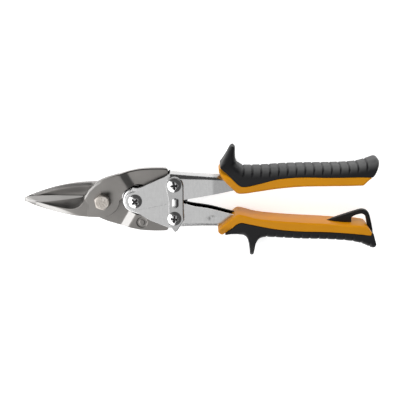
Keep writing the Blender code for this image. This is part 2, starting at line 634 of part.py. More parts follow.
def lower_cover(body, black):
    """Black cover of the lower grip: finger spur, back, end, and the hang loop over the core's end."""
    back = smooth([(85.0, -25.0), (92.0, -25.1), (98.0, -25.5), (101.2, -27.9), (102.4, -32.0),
                   (103.2, -38.0)], 2)
    spur = arc((104.6, SPUR_Y + 1.3), 1.3, 190, 350, 5)
    belly = smooth([(106.2, -37.0), (107.2, -31.0), (110.6, -27.8), (116.0, -27.2), (131.5, -28.2),
                    (151.7, -28.6), (163.8, -29.3), (175.6, -30.4), (182.0, -32.0), (188.0, -34.6)])
    end = arc((190.1, -32.6), END_X - 190.1, -110, 10, 6) + [(191.4, -27.6), (190.6, -23.0)]
    outline = back + spur + belly + end + [(188.2, -22.6)] + shifted(lower_border()[::-1], 0.1, -0.4)
    obj = plate("lower_grip_cover", outline, -GRIP_HALF, GRIP_HALF,
                rounding=(lambda v: v.y < -26.6 and v.x > 110.0, 3.0, 3))
    pocket = plate("lower_cover_pocket",
                   [(86.0, -15.0), (86.8, -23.2)]
                   + shifted(smooth([(88.0, -22.9), (97.0, -22.9), (115.0, -24.6), (131.0, -25.8),
                                     (151.0, -26.4), (180.0, -27.6)]), 0, -GAP - 0.05)
                   + [(181.4, -27.6), (181.4, -10.0)],
                   -TONGUE_HALF - GAP, TONGUE_HALF + GAP, CUTTERS)
    combine(obj, pocket, "DIFFERENCE")

    bow = smooth([(157.6, -14.9), (169.4, -11.0), (177.8, -8.2), (181.4, -7.3), (184.8, -8.8),
                  (186.8, -12.2), (188.8, -18.0), (190.9, -25.0)])
    core_face = [(189.0, -26.0), (188.3, -21.6), (185.0, -17.2), (181.4, -16.5), (173.0, -16.2), (165.0, -15.7)]
    loop = plate("hang_loop", bow + core_face, -LOOP_HALF, LOOP_HALF, CUTTERS)
    combine(obj, loop, "UNION")
    window = plate("hang_window",
                   smooth([(174.2, -16.9), (174.2, -13.4), (176.6, -11.6), (181.2, -10.4), (183.8, -12.0),
                           (184.6, -14.6), (185.2, -17.0)], 2) + [(181.0, -19.0)],
                   -LOOP_HALF - 1.0, LOOP_HALF + 1.0, CUTTERS)
    combine(obj, window, "DIFFERENCE")
    hang_on(obj, body, black)


# ---------------------------------------------------------------- assembly
def build():
    """Places every piece on the pivot that carries it."""
    blade_steel = material("blade_steel", (0.27, 0.25, 0.24), 0.38, 1.0)
    bolt_steel = material("bolt_steel", (0.42, 0.38, 0.34), 0.42, 1.0)
    chrome = material("chrome", (0.72, 0.73, 0.74), 0.22, 1.0)
    screw_chrome = material("screw_chrome", (0.80, 0.80, 0.80), 0.10, 1.0)
    spring_steel = material("spring_steel", (0.10, 0.10, 0.11), 0.35, 1.0)
    orange = material("orange_plastic", (0.58, 0.23, 0.01), 0.42)
    black = material("black_rubber", (0.024, 0.024, 0.026), 0.62)

    frame = pivot("snips_frame", (0.0, 0.0, 0.0))
    frame.location = FRAME_SHIFT * MM
    upper = pivot("upper_handle_body", (*FULCRUM, 0.0), frame)
    lower = pivot("lower_handle_body", (*FULCRUM, 0.0), frame)
    front = pivot("front_blade_body", (*UPPER_TANG, 0.0), frame)
    rear = pivot("rear_blade_body", (*LOWER_TANG, 0.0), frame)
    latch = pivot("latch_body", (*UPPER_TANG, 0.0), frame)

    front_blade(front, blade_steel)
    pivot_bolt(front, bolt_steel)
    pivot_washer(front, bolt_steel)
    pivot_nut(front, bolt_steel)
    rear_blade(rear, blade_steel)

    upper_channel(upper, chrome)
    lower_channel(lower, chrome)
    cross_screw("fulcrum_screw", FULCRUM, OUTER_HALF + 0.2, 45, upper, screw_chrome)
    sleeve("fulcrum_sleeve", FULCRUM, OUTER_HALF, OUTER_HALF, upper, screw_chrome)
    bore = SLEEVE_RADIUS + 0.2
    ring("fulcrum_spacer", FULCRUM, bore, 3.9, -2.3, 2.3, upper, bolt_steel)
    cross_screw("upper_tang_screw", UPPER_TANG, LATCH_FRONT + 0.2, 5, upper, screw_chrome)
    sleeve("upper_tang_sleeve", UPPER_TANG, OUTER_HALF, LATCH_FRONT, upper, screw_chrome)
    spacer_low = TANG_HALF + 0.2
    spacer_high = OUTER_HALF - SHEET - 0.2
    ring("upper_tang_spacer_front", UPPER_TANG, bore, 4.8, spacer_low, spacer_high, upper, bolt_steel)
    ring("upper_tang_spacer_rear", UPPER_TANG, bore, 4.8, -spacer_high, -spacer_low, upper, bolt_steel)
    ring("latch_washer", UPPER_TANG, bore, 4.8, OUTER_HALF + 0.15, LATCH_BACK - 0.15, upper, spring_steel)
    cross_screw("lower_tang_screw", LOWER_TANG, LATCH_FRONT + 0.2, -8, lower, screw_chrome)
    sleeve("lower_tang_sleeve", LOWER_TANG, INNER_HALF, LATCH_FRONT, lower, screw_chrome)
    ring("latch_spacer", LOWER_TANG, bore, 4.5, INNER_HALF + 0.2, LATCH_BACK - 0.3, lower, bolt_steel)

    latch_plate(latch, chrome)
    return_spring(upper, spring_steel)
    upper_core(upper, orange)
    upper_cover(upper, black)
    lower_core(lower, orange)
    lower_cover(lower, black)
    bpy.context.view_layer.update()


build()
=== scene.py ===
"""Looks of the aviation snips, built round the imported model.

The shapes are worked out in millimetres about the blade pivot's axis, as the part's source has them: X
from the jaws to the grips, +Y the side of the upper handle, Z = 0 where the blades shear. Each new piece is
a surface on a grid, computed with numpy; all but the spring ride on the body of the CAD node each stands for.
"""
import json
import math

import bmesh
import bpy
import numpy as np
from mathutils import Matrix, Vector

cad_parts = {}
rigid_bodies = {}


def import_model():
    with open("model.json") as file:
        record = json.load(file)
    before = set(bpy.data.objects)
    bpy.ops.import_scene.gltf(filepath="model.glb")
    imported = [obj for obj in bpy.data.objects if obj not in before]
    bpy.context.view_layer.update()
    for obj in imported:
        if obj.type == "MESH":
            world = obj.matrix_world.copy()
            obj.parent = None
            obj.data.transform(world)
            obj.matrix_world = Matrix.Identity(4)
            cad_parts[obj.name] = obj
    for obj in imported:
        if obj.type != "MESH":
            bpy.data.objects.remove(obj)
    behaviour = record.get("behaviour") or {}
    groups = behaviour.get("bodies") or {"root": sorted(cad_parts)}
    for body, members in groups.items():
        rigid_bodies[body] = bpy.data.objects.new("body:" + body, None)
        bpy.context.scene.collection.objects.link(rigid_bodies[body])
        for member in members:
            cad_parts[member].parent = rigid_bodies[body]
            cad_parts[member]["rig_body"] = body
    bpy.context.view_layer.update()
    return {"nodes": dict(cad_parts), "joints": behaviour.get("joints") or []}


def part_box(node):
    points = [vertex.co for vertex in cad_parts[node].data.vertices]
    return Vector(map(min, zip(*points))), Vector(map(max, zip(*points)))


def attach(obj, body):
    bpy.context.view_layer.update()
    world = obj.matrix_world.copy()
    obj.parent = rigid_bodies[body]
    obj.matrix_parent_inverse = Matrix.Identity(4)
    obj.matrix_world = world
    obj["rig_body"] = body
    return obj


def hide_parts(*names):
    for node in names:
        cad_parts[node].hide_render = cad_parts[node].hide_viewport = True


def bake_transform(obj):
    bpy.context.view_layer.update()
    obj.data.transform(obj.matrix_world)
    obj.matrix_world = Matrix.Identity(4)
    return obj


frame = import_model()

# ---------------------------------------------------------------- dimensions, in millimetres
MM = 0.001

JAW_TIP_X = -56.0               # the jaw's plane starts here, at this level, with this slope
JAW_TIP_LEVEL = 1.2
JAW_RISE = 0.079
EDGE_LEVEL = 0.75               # the facet's level at the cutting edge, and its slope from there
FACET_SLOPE = 0.14
HOLLOW_SAG = 0.35               # how far the jaw's hollow dips below a straight climb
BEVEL_SLOPE = 0.4               # bevel along the jaw's outer edge
BEVEL_WIDTH = 3.7
BRIGHT_WIDTH = 3.9              # how far in from the outer edge its ground tone goes
BEVEL_NARROWING = 3.0           # how much narrower both are at the hub
MARK_X = 26.8                   # round mark in the rear blade's tang: a pressed disc, raised in its middle
MARK_Y = 16.7
MARK_RADIUS = 3.9
MARK_MIDDLE = 2.2

SHEAR_GAP = 0.15                # half the gap between the blades
HUB_FRONT = 4.75                # front of the front blade's hub
TANG_HALF = 2.1                 # half thickness of a tang
SHEET = 1.5                     # channels' walls
INNER_HALF = 4.0                # half width of the lower channel
OUTER_HALF = 5.8                # half width of the upper channel at the linkage
NECK_HALF = 5.0                 # half width of the upper channel in its grip
BEND = 3.0                      # outer radius of the upper channel's bends in its grip
BEND_EXTRA = 1.8                # how much larger it is at the web's start
LOWER_BEND = 4.0                # outer radius of the lower channel's bends
UPPER_NOSE = 7.0                # radius of the channels' noses, and the width of their rounding
UPPER_COINED = 0.7
LOWER_NOSE = 9.0
LOWER_COINED = 2.4
DENT_X = 76.6                   # the press's dent in the lower channel's walls
DENT_Y = -13.0
DENT_DEPTH = 0.6
EDGE_DROP = 0.9                 # how far the lower channel's free edge sinks towards its grip
LATCH_BACK = 6.5
LATCH_FRONT = 7.7
LATCH_RIB = 0.6                 # height of the latch's rib

HEAD_RIM = 0.4                  # screw heads: height of the rim, of the dome over it, and depth of the cross
HEAD_DOME = 1.5
CROSS_DEPTH = 1.1
CROSS_REACH = 2.75              # half length and half width of the cross's bars
CROSS_HALF = 0.85
SHANK_RADIUS = 2.0
SHANK_LENGTH = 5.0

HEX_CORNER = 5.85               # middle to corner of the bolt's and the nut's hexagon
HEX_STEPS = 144
CHAMFER_START = 4.5             # radius of the bolt head's flat top
DOT_COUNT = 9                   # raised dots on it, each a golden angle past the one before
DOT_TURN = 137.5
DOT_SPREAD = 1.15
DOT_RADIUS = 0.7
DOT_HEIGHT = 0.13
NUT_FACE = 5.0                  # radius of the nut's flat face, and of its bore
NUT_BORE = 3.75

GRIP_HALF = 10.3                # half thickness of the grips
LOOP_HALF = 2.5                 # half thickness of the hang loop, less at its foot, and its darker tone
LOOP_FOOT = 0.3
LOOP_TONE = 0.3

JOGGLE_START = 19.6             # joggle of a blade, measured along its own direction
JOGGLE_END = 24.6
JOGGLE_TURN = math.radians(30)

GROOVE_PITCH = 6.04             # ribs on the grips' backs
GROOVE_COUNT = 15
UPPER_GROOVE_X = 97.7
LOWER_GROOVE_X = 114.6
GROOVE_DEPTH = 0.55
GROOVE_HALF = 0.75

WIRE_RADIUS = 0.7               # return spring
COIL_RADIUS = 5.0
COIL_PITCH = 1.5
COIL_TURNS = 2.0
FOOT_X = 58.4                   # where the spring's legs turn out into the walls
FOOT_BEND = 1.2

# ---------------------------------------------------------------- stage, in metres and watts
FLOOR_HALF = 3.0
FLOOR_GLOW = 0.7
WORLD_GLOW = 0.08
LENS = 83.3
SENSOR = 36.0
CAMERA_TILT = math.radians(17.0)
CAMERA_DISTANCE = 0.650
CAMERA_AIM = (67.72, -0.785, 0.0)       # in the design's millimetres

MIDDLE = (0.0, 0.0, 0.0)
LIGHTS = (                              # name, place, aim, size, power, seen in polished metal
    ("overhead", (-0.40, -0.475, 1.5), (-0.40, -0.475, 0.0), (1.7, 1.55), 6.3, True),
    ("left", (-1.15, -0.10, 1.0), MIDDLE, (1.5, 1.3), 12.0, True),
    ("front_left", (-0.68, -1.3, 0.65), MIDDLE, (1.35, 1.0), 8.5, True),
    ("far_side", (0.1, 1.3, 0.8), MIDDLE, (1.6, 0.6), 22.0, False),
)

# ---------------------------------------------------------------- places, read from the frame
PLACES = {joint["name"]: np.array(joint["pos_m"]) for joint in frame["joints"]}


def box_centre(node):
    """Middle of a CAD node's box, in metres."""
    low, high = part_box(node)
    return (np.array(low) + np.array(high)) / 2


ORIGIN = box_centre("pivot_bolt")
ORIGIN[2] = PLACES["handle_open"][2]
FULCRUM, UPPER_TANG, LOWER_TANG = (
    ((PLACES[name] - ORIGIN) / MM)[:2] for name in ("handle_open", "front_blade_turn", "rear_blade_turn"))


def level(node, end):
    """Lowest (end 0) or highest (end 1) level of a CAD node, in the design's millimetres."""
    return (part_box(node)[end][2] - ORIGIN[2]) / MM


# ---------------------------------------------------------------- curves
def ramp(t, softness=0.12):
    """Rises from 0 to 1 as t does, with rounded corners.

    It is half of 1 + |t| - |1 - t|, where each size |t| is the root of t^2 + softness^2.
    """
    return 0.5 * (1 + np.sqrt(t ** 2 + softness ** 2) - np.sqrt((1 - t) ** 2 + softness ** 2))


def ease(t):
    """0 below 0, 1 above 1, and the cubic 3t^2 - 2t^3 between."""
    t = np.clip(t, 0.0, 1.0)
    return t * t * (3 - 2 * t)


def through(knots, values, places):
    """Piecewise cubic through values at knots, read at places.

    The slope at a knot is that of the parabola through it and its neighbours, and between two knots the curve
    is Hermite's cubic.
    """
    span = np.diff(knots)[:, None]
    chord = np.diff(values, axis=0) / span
    inner = (chord[:-1] * span[1:] + chord[1:] * span[:-1]) / (span[:-1] + span[1:])
    slope = np.vstack([chord[:1], inner, chord[-1:]])
    k = np.clip(np.searchsorted(knots, places, side="right") - 1, 0, len(knots) - 2)
    width = span[k]
    t = (places - knots[k])[:, None] / width
    return ((2 * t ** 3 - 3 * t ** 2 + 1) * values[k] + (t ** 3 - 2 * t ** 2 + t) * width * slope[k]
            + (3 * t ** 2 - 2 * t ** 3) * values[k + 1] + (t ** 3 - t ** 2) * width * slope[k + 1])


def height_at(x, points):
    """Height of a smooth line through (x, y) points."""
    points = np.array(points, float)
    flat = np.clip(np.ravel(x), points[0, 0], points[-1, 0])
    return through(points[:, 0], points[:, 1:], flat)[:, 0].reshape(np.shape(x))


def rungs(stretches, spacing):
    """Rungs laid between two outlines, like a ladder's.

    A rung is (x, y of its low end, x, y of its high end), and a stretch is a list of rungs that ends at a
    corner of an outline. In each stretch both ends follow smooth curves, and the rungs come about spacing
    apart.
    """
    laid = []
    for stretch in stretches:
        points = np.array(stretch, float)
        steps = np.linalg.norm(np.diff(points[:, :4], axis=0), axis=1) / math.sqrt(2)
        knots = np.concatenate([[0.0], np.cumsum(steps)])
        count = max(3, math.ceil(knots[-1] / spacing) + 1)
        laid.append(through(knots, points, np.linspace(0.0, knots[-1], count)))
    return np.vstack([laid[0]] + [part[1:] if np.allclose(part[0], before[-1]) else part
                                  for before, part in zip(laid, laid[1:])])


# ---------------------------------------------------------------- surfaces
def quads(rows, columns, wrap):
    """Corner numbers of the quads of a grid; wrap joins its last column to its first."""
    number = np.arange(rows * columns).reshape(rows, columns)
    if wrap:
        number = np.hstack([number, number[:, :1]])
    corners = [number[:-1, :-1], number[1:, :-1], number[1:, 1:], number[:-1, 1:]]
    return np.stack(corners, axis=-1).reshape(-1, 4)


def end_strip(start, columns):
    """Quads that close the end loop of a loft, across from its first half to its second."""
    first = start + np.arange(columns // 2)
    second = start + columns - 1 - np.arange(columns // 2)
    return np.stack([first[:-1], first[1:], second[1:], second[:-1]], axis=-1)


def loft(grid):
    """Points and quads of a closed solid, from a grid of loops (along, round, xyz)."""
    rows, columns, _ = grid.shape
    ends = [end_strip(0, columns), end_strip((rows - 1) * columns, columns)]
    faces = np.vstack([quads(rows, columns, True)] + ends)
    return grid.reshape(-1, 3), faces


def across(ladder, rim_low, rim_high, steps, rim_steps=6):
    """Places across the rungs: share of the rung, distance from both ends, and the rims' quarter circles.

    On a rim of radius r the distance from the end is r(1 - cos a), and the fall is (1 - sin a) of the rim's
    depth.
    """
    width = np.linalg.norm(ladder[:, 2:4] - ladder[:, :2], axis=1)[:, None]
    angle = np.linspace(0.0, math.pi / 2, rim_steps)[None, :]
    low = np.minimum(rim_low, 0.45 * width)
    high = np.minimum(rim_high, 0.45 * width)
    inside = np.linspace(0.0, 1.0, steps)[None, 1:-1]
    away = np.hstack([low * (1 - np.cos(angle)), low + inside * (width - low - high),
                      width - high * (1 - np.cos(angle[:, ::-1]))])
    fall = (1 - np.sin(angle)) * np.ones_like(width)
    flat = np.zeros((len(width), steps - 2))
    return (away / np.maximum(width, 1e-9), away, width - away,
            np.hstack([fall, flat, 0 * fall]), np.hstack([0 * fall, flat, fall[:, ::-1]]))


def slab(ladder, front, back, rim=(0.3, 0.3), depth=None, steps=30):
    """Closed loops of a plate: over the front from a rung's low end to its high end, and back over the rear.

    front and back give the level from (x, y, distance from the low end, distance from the high end). rim is
    the radius of the rounding at the low and the high end, and depth how far each falls (the radius if not
    given).
    """
    depth = depth or rim
    share, from_low, from_high, fall_low, fall_high = across(ladder, rim[0], rim[1], steps)
    x = ladder[:, 0:1] + share * (ladder[:, 2:3] - ladder[:, 0:1])
    y = ladder[:, 1:2] + share * (ladder[:, 3:4] - ladder[:, 1:2])
    high = front(x, y, from_low, from_high) + 0 * x
    low = back(x, y, from_low, from_high) + 0 * x
    fall = np.minimum(depth[0] * fall_low + depth[1] * fall_high, 0.47 * (high - low))
    over = np.stack([x, y, high - fall], axis=-1)
    under = np.stack([x, y, low + fall], axis=-1)
    return np.concatenate([over, under[:, ::-1]], axis=1)


def both_faces(half):
    """Front and rear level, for slab, of a piece whose half thickness is half(x, y)."""
    def front(x, y, from_low, from_high):
        return half(x, y)

    def back(x, y, from_low, from_high):
        return -half(x, y)

    return front, back


def outward(grid):
    """Unit normals of a grid of loops, away from each loop's middle."""
    along = np.gradient(grid, axis=0)
    round_it = np.roll(grid, -1, axis=1) - np.roll(grid, 1, axis=1)
    normal = np.cross(along, round_it)
    normal /= np.maximum(np.linalg.norm(normal, axis=-1, keepdims=True), 1e-9)
    middle = grid.mean(axis=1, keepdims=True)
    facing = np.sum(normal * (grid - middle), axis=-1).mean()
    return normal if facing > 0 else -normal


def turned_grid(profile, centre, angle):
    """Grid (angle, profile point, xyz) of a profile turned about an upright axis through centre."""
    return np.stack([centre[0] + profile[:, 0] * np.cos(angle), centre[1] + profile[:, 0] * np.sin(angle),
                     profile[:, 1] + 0 * angle], axis=-1)


def turned(profile, centre, steps=96):
    """Points and quads of a (radius, level) profile turned about Z: (r cos a, r sin a, z)."""
    profile = np.array(profile, float)
    angle = np.linspace(0.0, 2 * math.pi, steps, endpoint=False)[:, None]
    return round_faces(turned_grid(profile, centre, angle))


def round_faces(grid):
    """Points and quads of a grid (angle, profile point, xyz) whose last angle meets its first."""
    faces = quads(grid.shape[1], grid.shape[0], True)
    return np.swapaxes(grid, 0, 1).reshape(-1, 3), faces


def tube(path, radius, sides=16):
    """Loops round a path: each point plus radius times a circle in the plane across the path's direction."""
    path = np.array(path, float)
    forward = np.gradient(path, axis=0)
    forward /= np.linalg.norm(forward, axis=1, keepdims=True)
    aside = np.cross(forward, np.array([0.31, 0.17, 0.93]))
    aside /= np.linalg.norm(aside, axis=1, keepdims=True)
    up = np.cross(forward, aside)
    angle = np.linspace(0.0, 2 * math.pi, sides, endpoint=False)[None, :, None]
    return path[:, None] + radius * (np.cos(angle) * aside[:, None] + np.sin(angle) * up[:, None])


def piece(name, solids, look, nodes, tone=None, sharp=38.0):
    """One object from (points, quads) solids in millimetres, in place of the CAD nodes and on their body.

    tone is a value for every point, kept as an attribute that the material reads.
    """
    start = np.cumsum([0] + [len(points) for points, _ in solids[:-1]])
    points = np.vstack([points for points, _ in solids]) * MM + ORIGIN
    faces = np.vstack([corners + first for (_, corners), first in zip(solids, start)])
    mesh = bpy.data.meshes.new(name)
    mesh.from_pydata(points, [], faces)
    marks = mesh.attributes.new("tone", "FLOAT", "POINT")
    marks.data.foreach_set("value", np.full(len(points), 0.5) if tone is None else np.ravel(tone))
    form = bmesh.new()
    form.from_mesh(mesh)
    bmesh.ops.remove_doubles(form, verts=form.verts, dist=0.002 * MM)
    bmesh.ops.dissolve_degenerate(form, edges=form.edges, dist=0.0005 * MM)
    bmesh.ops.recalc_face_normals(form, faces=form.faces)
    form.to_mesh(mesh)
    form.free()
    mesh.shade_smooth()
    mesh.set_sharp_from_angle(angle=math.radians(sharp))
    mesh.materials.append(look)
    obj = bpy.data.objects.new(name, mesh)
    bpy.context.scene.collection.objects.link(obj)
    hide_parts(*nodes)
    body = frame["nodes"][nodes[0]]["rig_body"]
    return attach(obj, body) if body else obj


# ---------------------------------------------------------------- materials
class Finish:
    """A Principled material with helpers that add one pattern each."""

    def __init__(self, name, metallic=0.0):
        self.made = bpy.data.materials.new(name)
        self.made.use_nodes = True
        self.nodes = self.made.node_tree.nodes
        self.links = self.made.node_tree.links
        self.shader = self.nodes["Principled BSDF"]
        self.shader.inputs["Metallic"].default_value = metallic
        self.place = self.nodes.new("ShaderNodeTexCoord").outputs["Object"]

    def noise(self, scale, stretch=(1.0, 1.0, 1.0), detail=4.0):
        """Noise of so many lumps to the metre, stretched by a Mapping node."""
        mapping = self.nodes.new("ShaderNodeMapping")
        mapping.inputs["Scale"].default_value = stretch
        pattern = self.nodes.new("ShaderNodeTexNoise")
        pattern.inputs["Scale"].default_value = scale
        pattern.inputs["Detail"].default_value = detail
        self.links.new(self.place, mapping.inputs["Vector"])
        self.links.new(mapping.outputs["Vector"], pattern.inputs["Vector"])
        return pattern.outputs["Fac"]

    def attribute(self, name):
        """Value of a point attribute."""
        reader = self.nodes.new("ShaderNodeAttribute")
        reader.attribute_name = name
        return reader.outputs["Fac"]

    def between(self, source, low, high, start=0.3, end=0.7):
        """Number from low to high as the source goes from start to end."""
        scale = self.nodes.new("ShaderNodeMapRange")
        scale.inputs["From Min"].default_value = start
        scale.inputs["From Max"].default_value = end
        scale.inputs["To Min"].default_value = low
        scale.inputs["To Max"].default_value = high
        self.links.new(source, scale.inputs["Value"])
        return scale.outputs["Result"]

    def sum(self, first, second):
        """Two numbers added."""
        add = self.nodes.new("ShaderNodeMath")
        add.operation = "ADD"
        self.links.new(first, add.inputs[0])
        self.links.new(second, add.inputs[1])
        return add.outputs[0]

    def colours(self, source, stops):
        """Colour ramp of (place, colour) stops."""
        ramp_node = self.nodes.new("ShaderNodeValToRGB")
        elements = ramp_node.color_ramp.elements
        while len(elements) < len(stops):
            elements.new(0.5)
        for element, (place, colour) in zip(elements, stops):
            element.position = place
            element.color = (*colour, 1.0)
        self.links.new(source, ramp_node.inputs["Fac"])
        return ramp_node.outputs["Color"]

    def multiply(self, colour, factor):
        """Two colours multiplied."""
        mix = self.nodes.new("ShaderNodeMix")
        mix.data_type = "RGBA"
        mix.blend_type = "MULTIPLY"
        mix.inputs[0].default_value = 1.0
        self.links.new(colour, mix.inputs[6])
        self.links.new(factor, mix.inputs[7])
        return mix.outputs[2]

    def bump(self, sources):
        """Bump from (height, strength, depth in millimetres) triples, one over the other."""
        below = None
        for height, strength, depth in sources:
            node = self.nodes.new("ShaderNodeBump")
            node.inputs["Strength"].default_value = strength
            node.inputs["Distance"].default_value = depth * MM
            self.links.new(height, node.inputs["Height"])
            if below:
                self.links.new(below, node.inputs["Normal"])
            below = node.outputs["Normal"]
        self.links.new(below, self.shader.inputs["Normal"])

    def set(self, **sockets):
        """Links a source to each named socket of the shader."""
        for name, source in sockets.items():
            self.links.new(source, self.shader.inputs[name.replace("_", " ")])


def grey(value, warmth=0.0):
    """Grey with a little red added and blue taken away."""
    return (value * (1 + warmth), value, value * (1 - warmth))


def blade_steel():
    """Satin steel: tone darkens rolled skin, brightens ground faces, and paints shade and highlights; soft
    smudges, fine grinding.
    """
    look = Finish("blade_steel", 1.0)
    smudge = look.noise(70.0, detail=5.0)
    grain = look.noise(260.0, (1.0, 9.0, 1.0), 3.0)
    body = look.colours(look.attribute("tone"), [(0.0, grey(0.085, 0.05)), (0.5, grey(0.30, 0.045)),
                                                 (1.0, grey(0.62, 0.02))])
    cloud = look.colours(smudge, [(0.3, grey(0.84)), (0.7, grey(1.0))])
    lines = look.colours(grain, [(0.25, grey(0.92)), (0.75, grey(1.0))])
    look.set(Base_Color=look.multiply(look.multiply(body, cloud), lines),
             Roughness=look.sum(look.between(smudge, 0.22, 0.32), look.between(grain, 0.08, 0.16)))
    look.bump([(look.noise(900.0), 0.12, 0.02), (grain, 0.15, 0.02)])
    return look.made


def bolt_steel():
    """Warm grey machined steel with a fine mottle."""
    look = Finish("bolt_steel", 1.0)
    mottle = look.noise(420.0, detail=6.0)
    look.set(Base_Color=look.colours(mottle, [(0.3, grey(0.40, 0.10)), (0.7, grey(0.60, 0.07))]),
             Roughness=look.between(mottle, 0.34, 0.48))
    look.bump([(mottle, 0.25, 0.04)])
    return look.made


def chrome(name="chrome", shine=0.16):
    """Chromed sheet: long brush lines under the plating, faint waves and rub marks; near black where tone is
    0, as bare steel in painted shade.
    """
    look = Finish(name, 1.0)
    lines = look.noise(55.0, (1.0, 26.0, 26.0), 5.0)
    waves = look.noise(38.0, detail=2.0)
    rubs = look.noise(240.0, (3.0, 1.0, 1.0), 6.0)
    body = look.colours(look.attribute("tone"), [(0.0, grey(0.03)), (0.5, grey(0.64)), (1.0, grey(0.90))])
    worn = look.multiply(look.colours(lines, [(0.3, grey(0.95)), (0.7, grey(1.0))]),
                         look.colours(rubs, [(0.35, grey(0.96)), (0.6, grey(1.0))]))
    look.set(Base_Color=look.multiply(body, worn),
             Roughness=look.sum(look.between(lines, shine, shine + 0.06), look.between(rubs, 0.04, 0.0)))
    look.bump([(waves, 0.05, 0.2), (lines, 0.05, 0.01)])
    return look.made


def screw_chrome():
    """Bright polished chrome, dark where tone paints shade in the cross recesses."""
    look = Finish("screw_chrome", 1.0)
    specks = look.noise(500.0, detail=6.0)
    body = look.colours(look.attribute("tone"), [(0.0, grey(0.05)), (0.5, grey(0.82))])
    flecks = look.colours(specks, [(0.35, grey(0.92)), (0.65, grey(1.0))])
    look.set(Base_Color=look.multiply(body, flecks), Roughness=look.between(specks, 0.15, 0.22))
    look.bump([(look.noise(120.0), 0.06, 0.05)])
    return look.made


def spring_steel():
    """Dark drawn wire with fine lengthwise drawing marks and an oily sheen."""
    look = Finish("spring_steel", 1.0)
    marks = look.noise(600.0, (1.0, 0.2, 1.0), 4.0)
    look.set(Base_Color=look.colours(marks, [(0.3, grey(0.05)), (0.7, grey(0.13))]),
             Roughness=look.between(marks, 0.25, 0.42))
    look.bump([(marks, 0.15, 0.02)])
    return look.made


def orange_plastic():
    """Hard moulded plastic: fine spark-eroded grain and a slow colour drift."""
    look = Finish("orange_plastic")
    drift = look.noise(30.0, detail=3.0)
    grain = look.noise(2600.0, detail=2.0)
    look.set(Base_Color=look.colours(drift, [(0.3, (0.52, 0.205, 0.001)), (0.7, (0.57, 0.232, 0.001))]),
             Roughness=look.between(drift, 0.36, 0.46))
    look.bump([(grain, 0.20, 0.03)])
    look.shader.inputs["Specular IOR Level"].default_value = 0.28
    return look.made


def black_rubber():
    """Soft overmould: matt grain, dusty greyer patches; tone paints light on the ribs' crowns and shade in
    their grooves.
    """
    look = Finish("black_rubber")
    dust = look.noise(90.0, detail=6.0)
    grain = look.noise(1900.0, detail=3.0)
    body = look.colours(look.attribute("tone"), [(0.0, grey(0.006)), (0.5, (0.008, 0.008, 0.009)),
                                                 (1.0, grey(0.075))])
    film = look.colours(dust, [(0.3, grey(0.86)), (0.7, grey(1.0))])
    look.set(Base_Color=look.multiply(body, film),
             Roughness=look.sum(look.between(dust, 0.40, 0.50), look.between(grain, 0.0, 0.10)))
    look.bump([(grain, 0.28, 0.05)])
    look.shader.inputs["Specular IOR Level"].default_value = 0.3
    return look.made


def pale_floor():
    """Plain white card with an almost even tone, which glows a little."""
    look = Finish("pale_floor")
    cloud = look.noise(3.0, detail=2.0)
    look.set(Base_Color=look.colours(cloud, [(0.3, grey(0.80)), (0.7, grey(0.82))]))
    look.shader.inputs["Emission Color"].default_value = (1.0, 1.0, 1.0, 1.0)
    look.shader.inputs["Emission Strength"].default_value = FLOOR_GLOW
    look.shader.inputs["Roughness"].default_value = 0.9
    look.shader.inputs["Specular IOR Level"].default_value = 0.0
    return look.made


# ---------------------------------------------------------------- blades
# Lines on the front blade's jaw, from its tip to the hub: the cutting edge, the facet's foot and the hollow's
# lower end as (x, y), and the edge where the jaw steps up to the hub as (y, x).
CUTTING_LINE = [(-55.8, 1.0), (-50.0, 2.5), (-43.0, 2.85), (-33.0, 3.0), (-23.4, 2.9), (-13.0, 2.7)]
FACET_FOOT = [(-55.8, 0.95), (-52.0, -1.0), (-45.4, -1.6), (-33.0, -0.7), (-23.5, 0.4), (-15.5, 1.6),
              (-12.0, 2.4)]
RECESS_FOOT = [(-47.0, -1.7), (-45.4, -2.0), (-39.0, -3.6), (-33.0, -4.8), (-27.0, -5.8), (-22.1, -6.2),
               (-18.5, -5.4), (-15.7, -3.4), (-13.9, -0.6), (-13.0, 2.0)]

STEP_LINE = [(-12.5, -10.9), (-9.0, -11.0), (-3.5, -10.2), (1.5, -12.3), (2.7, -12.9), (4.5, -12.9)]


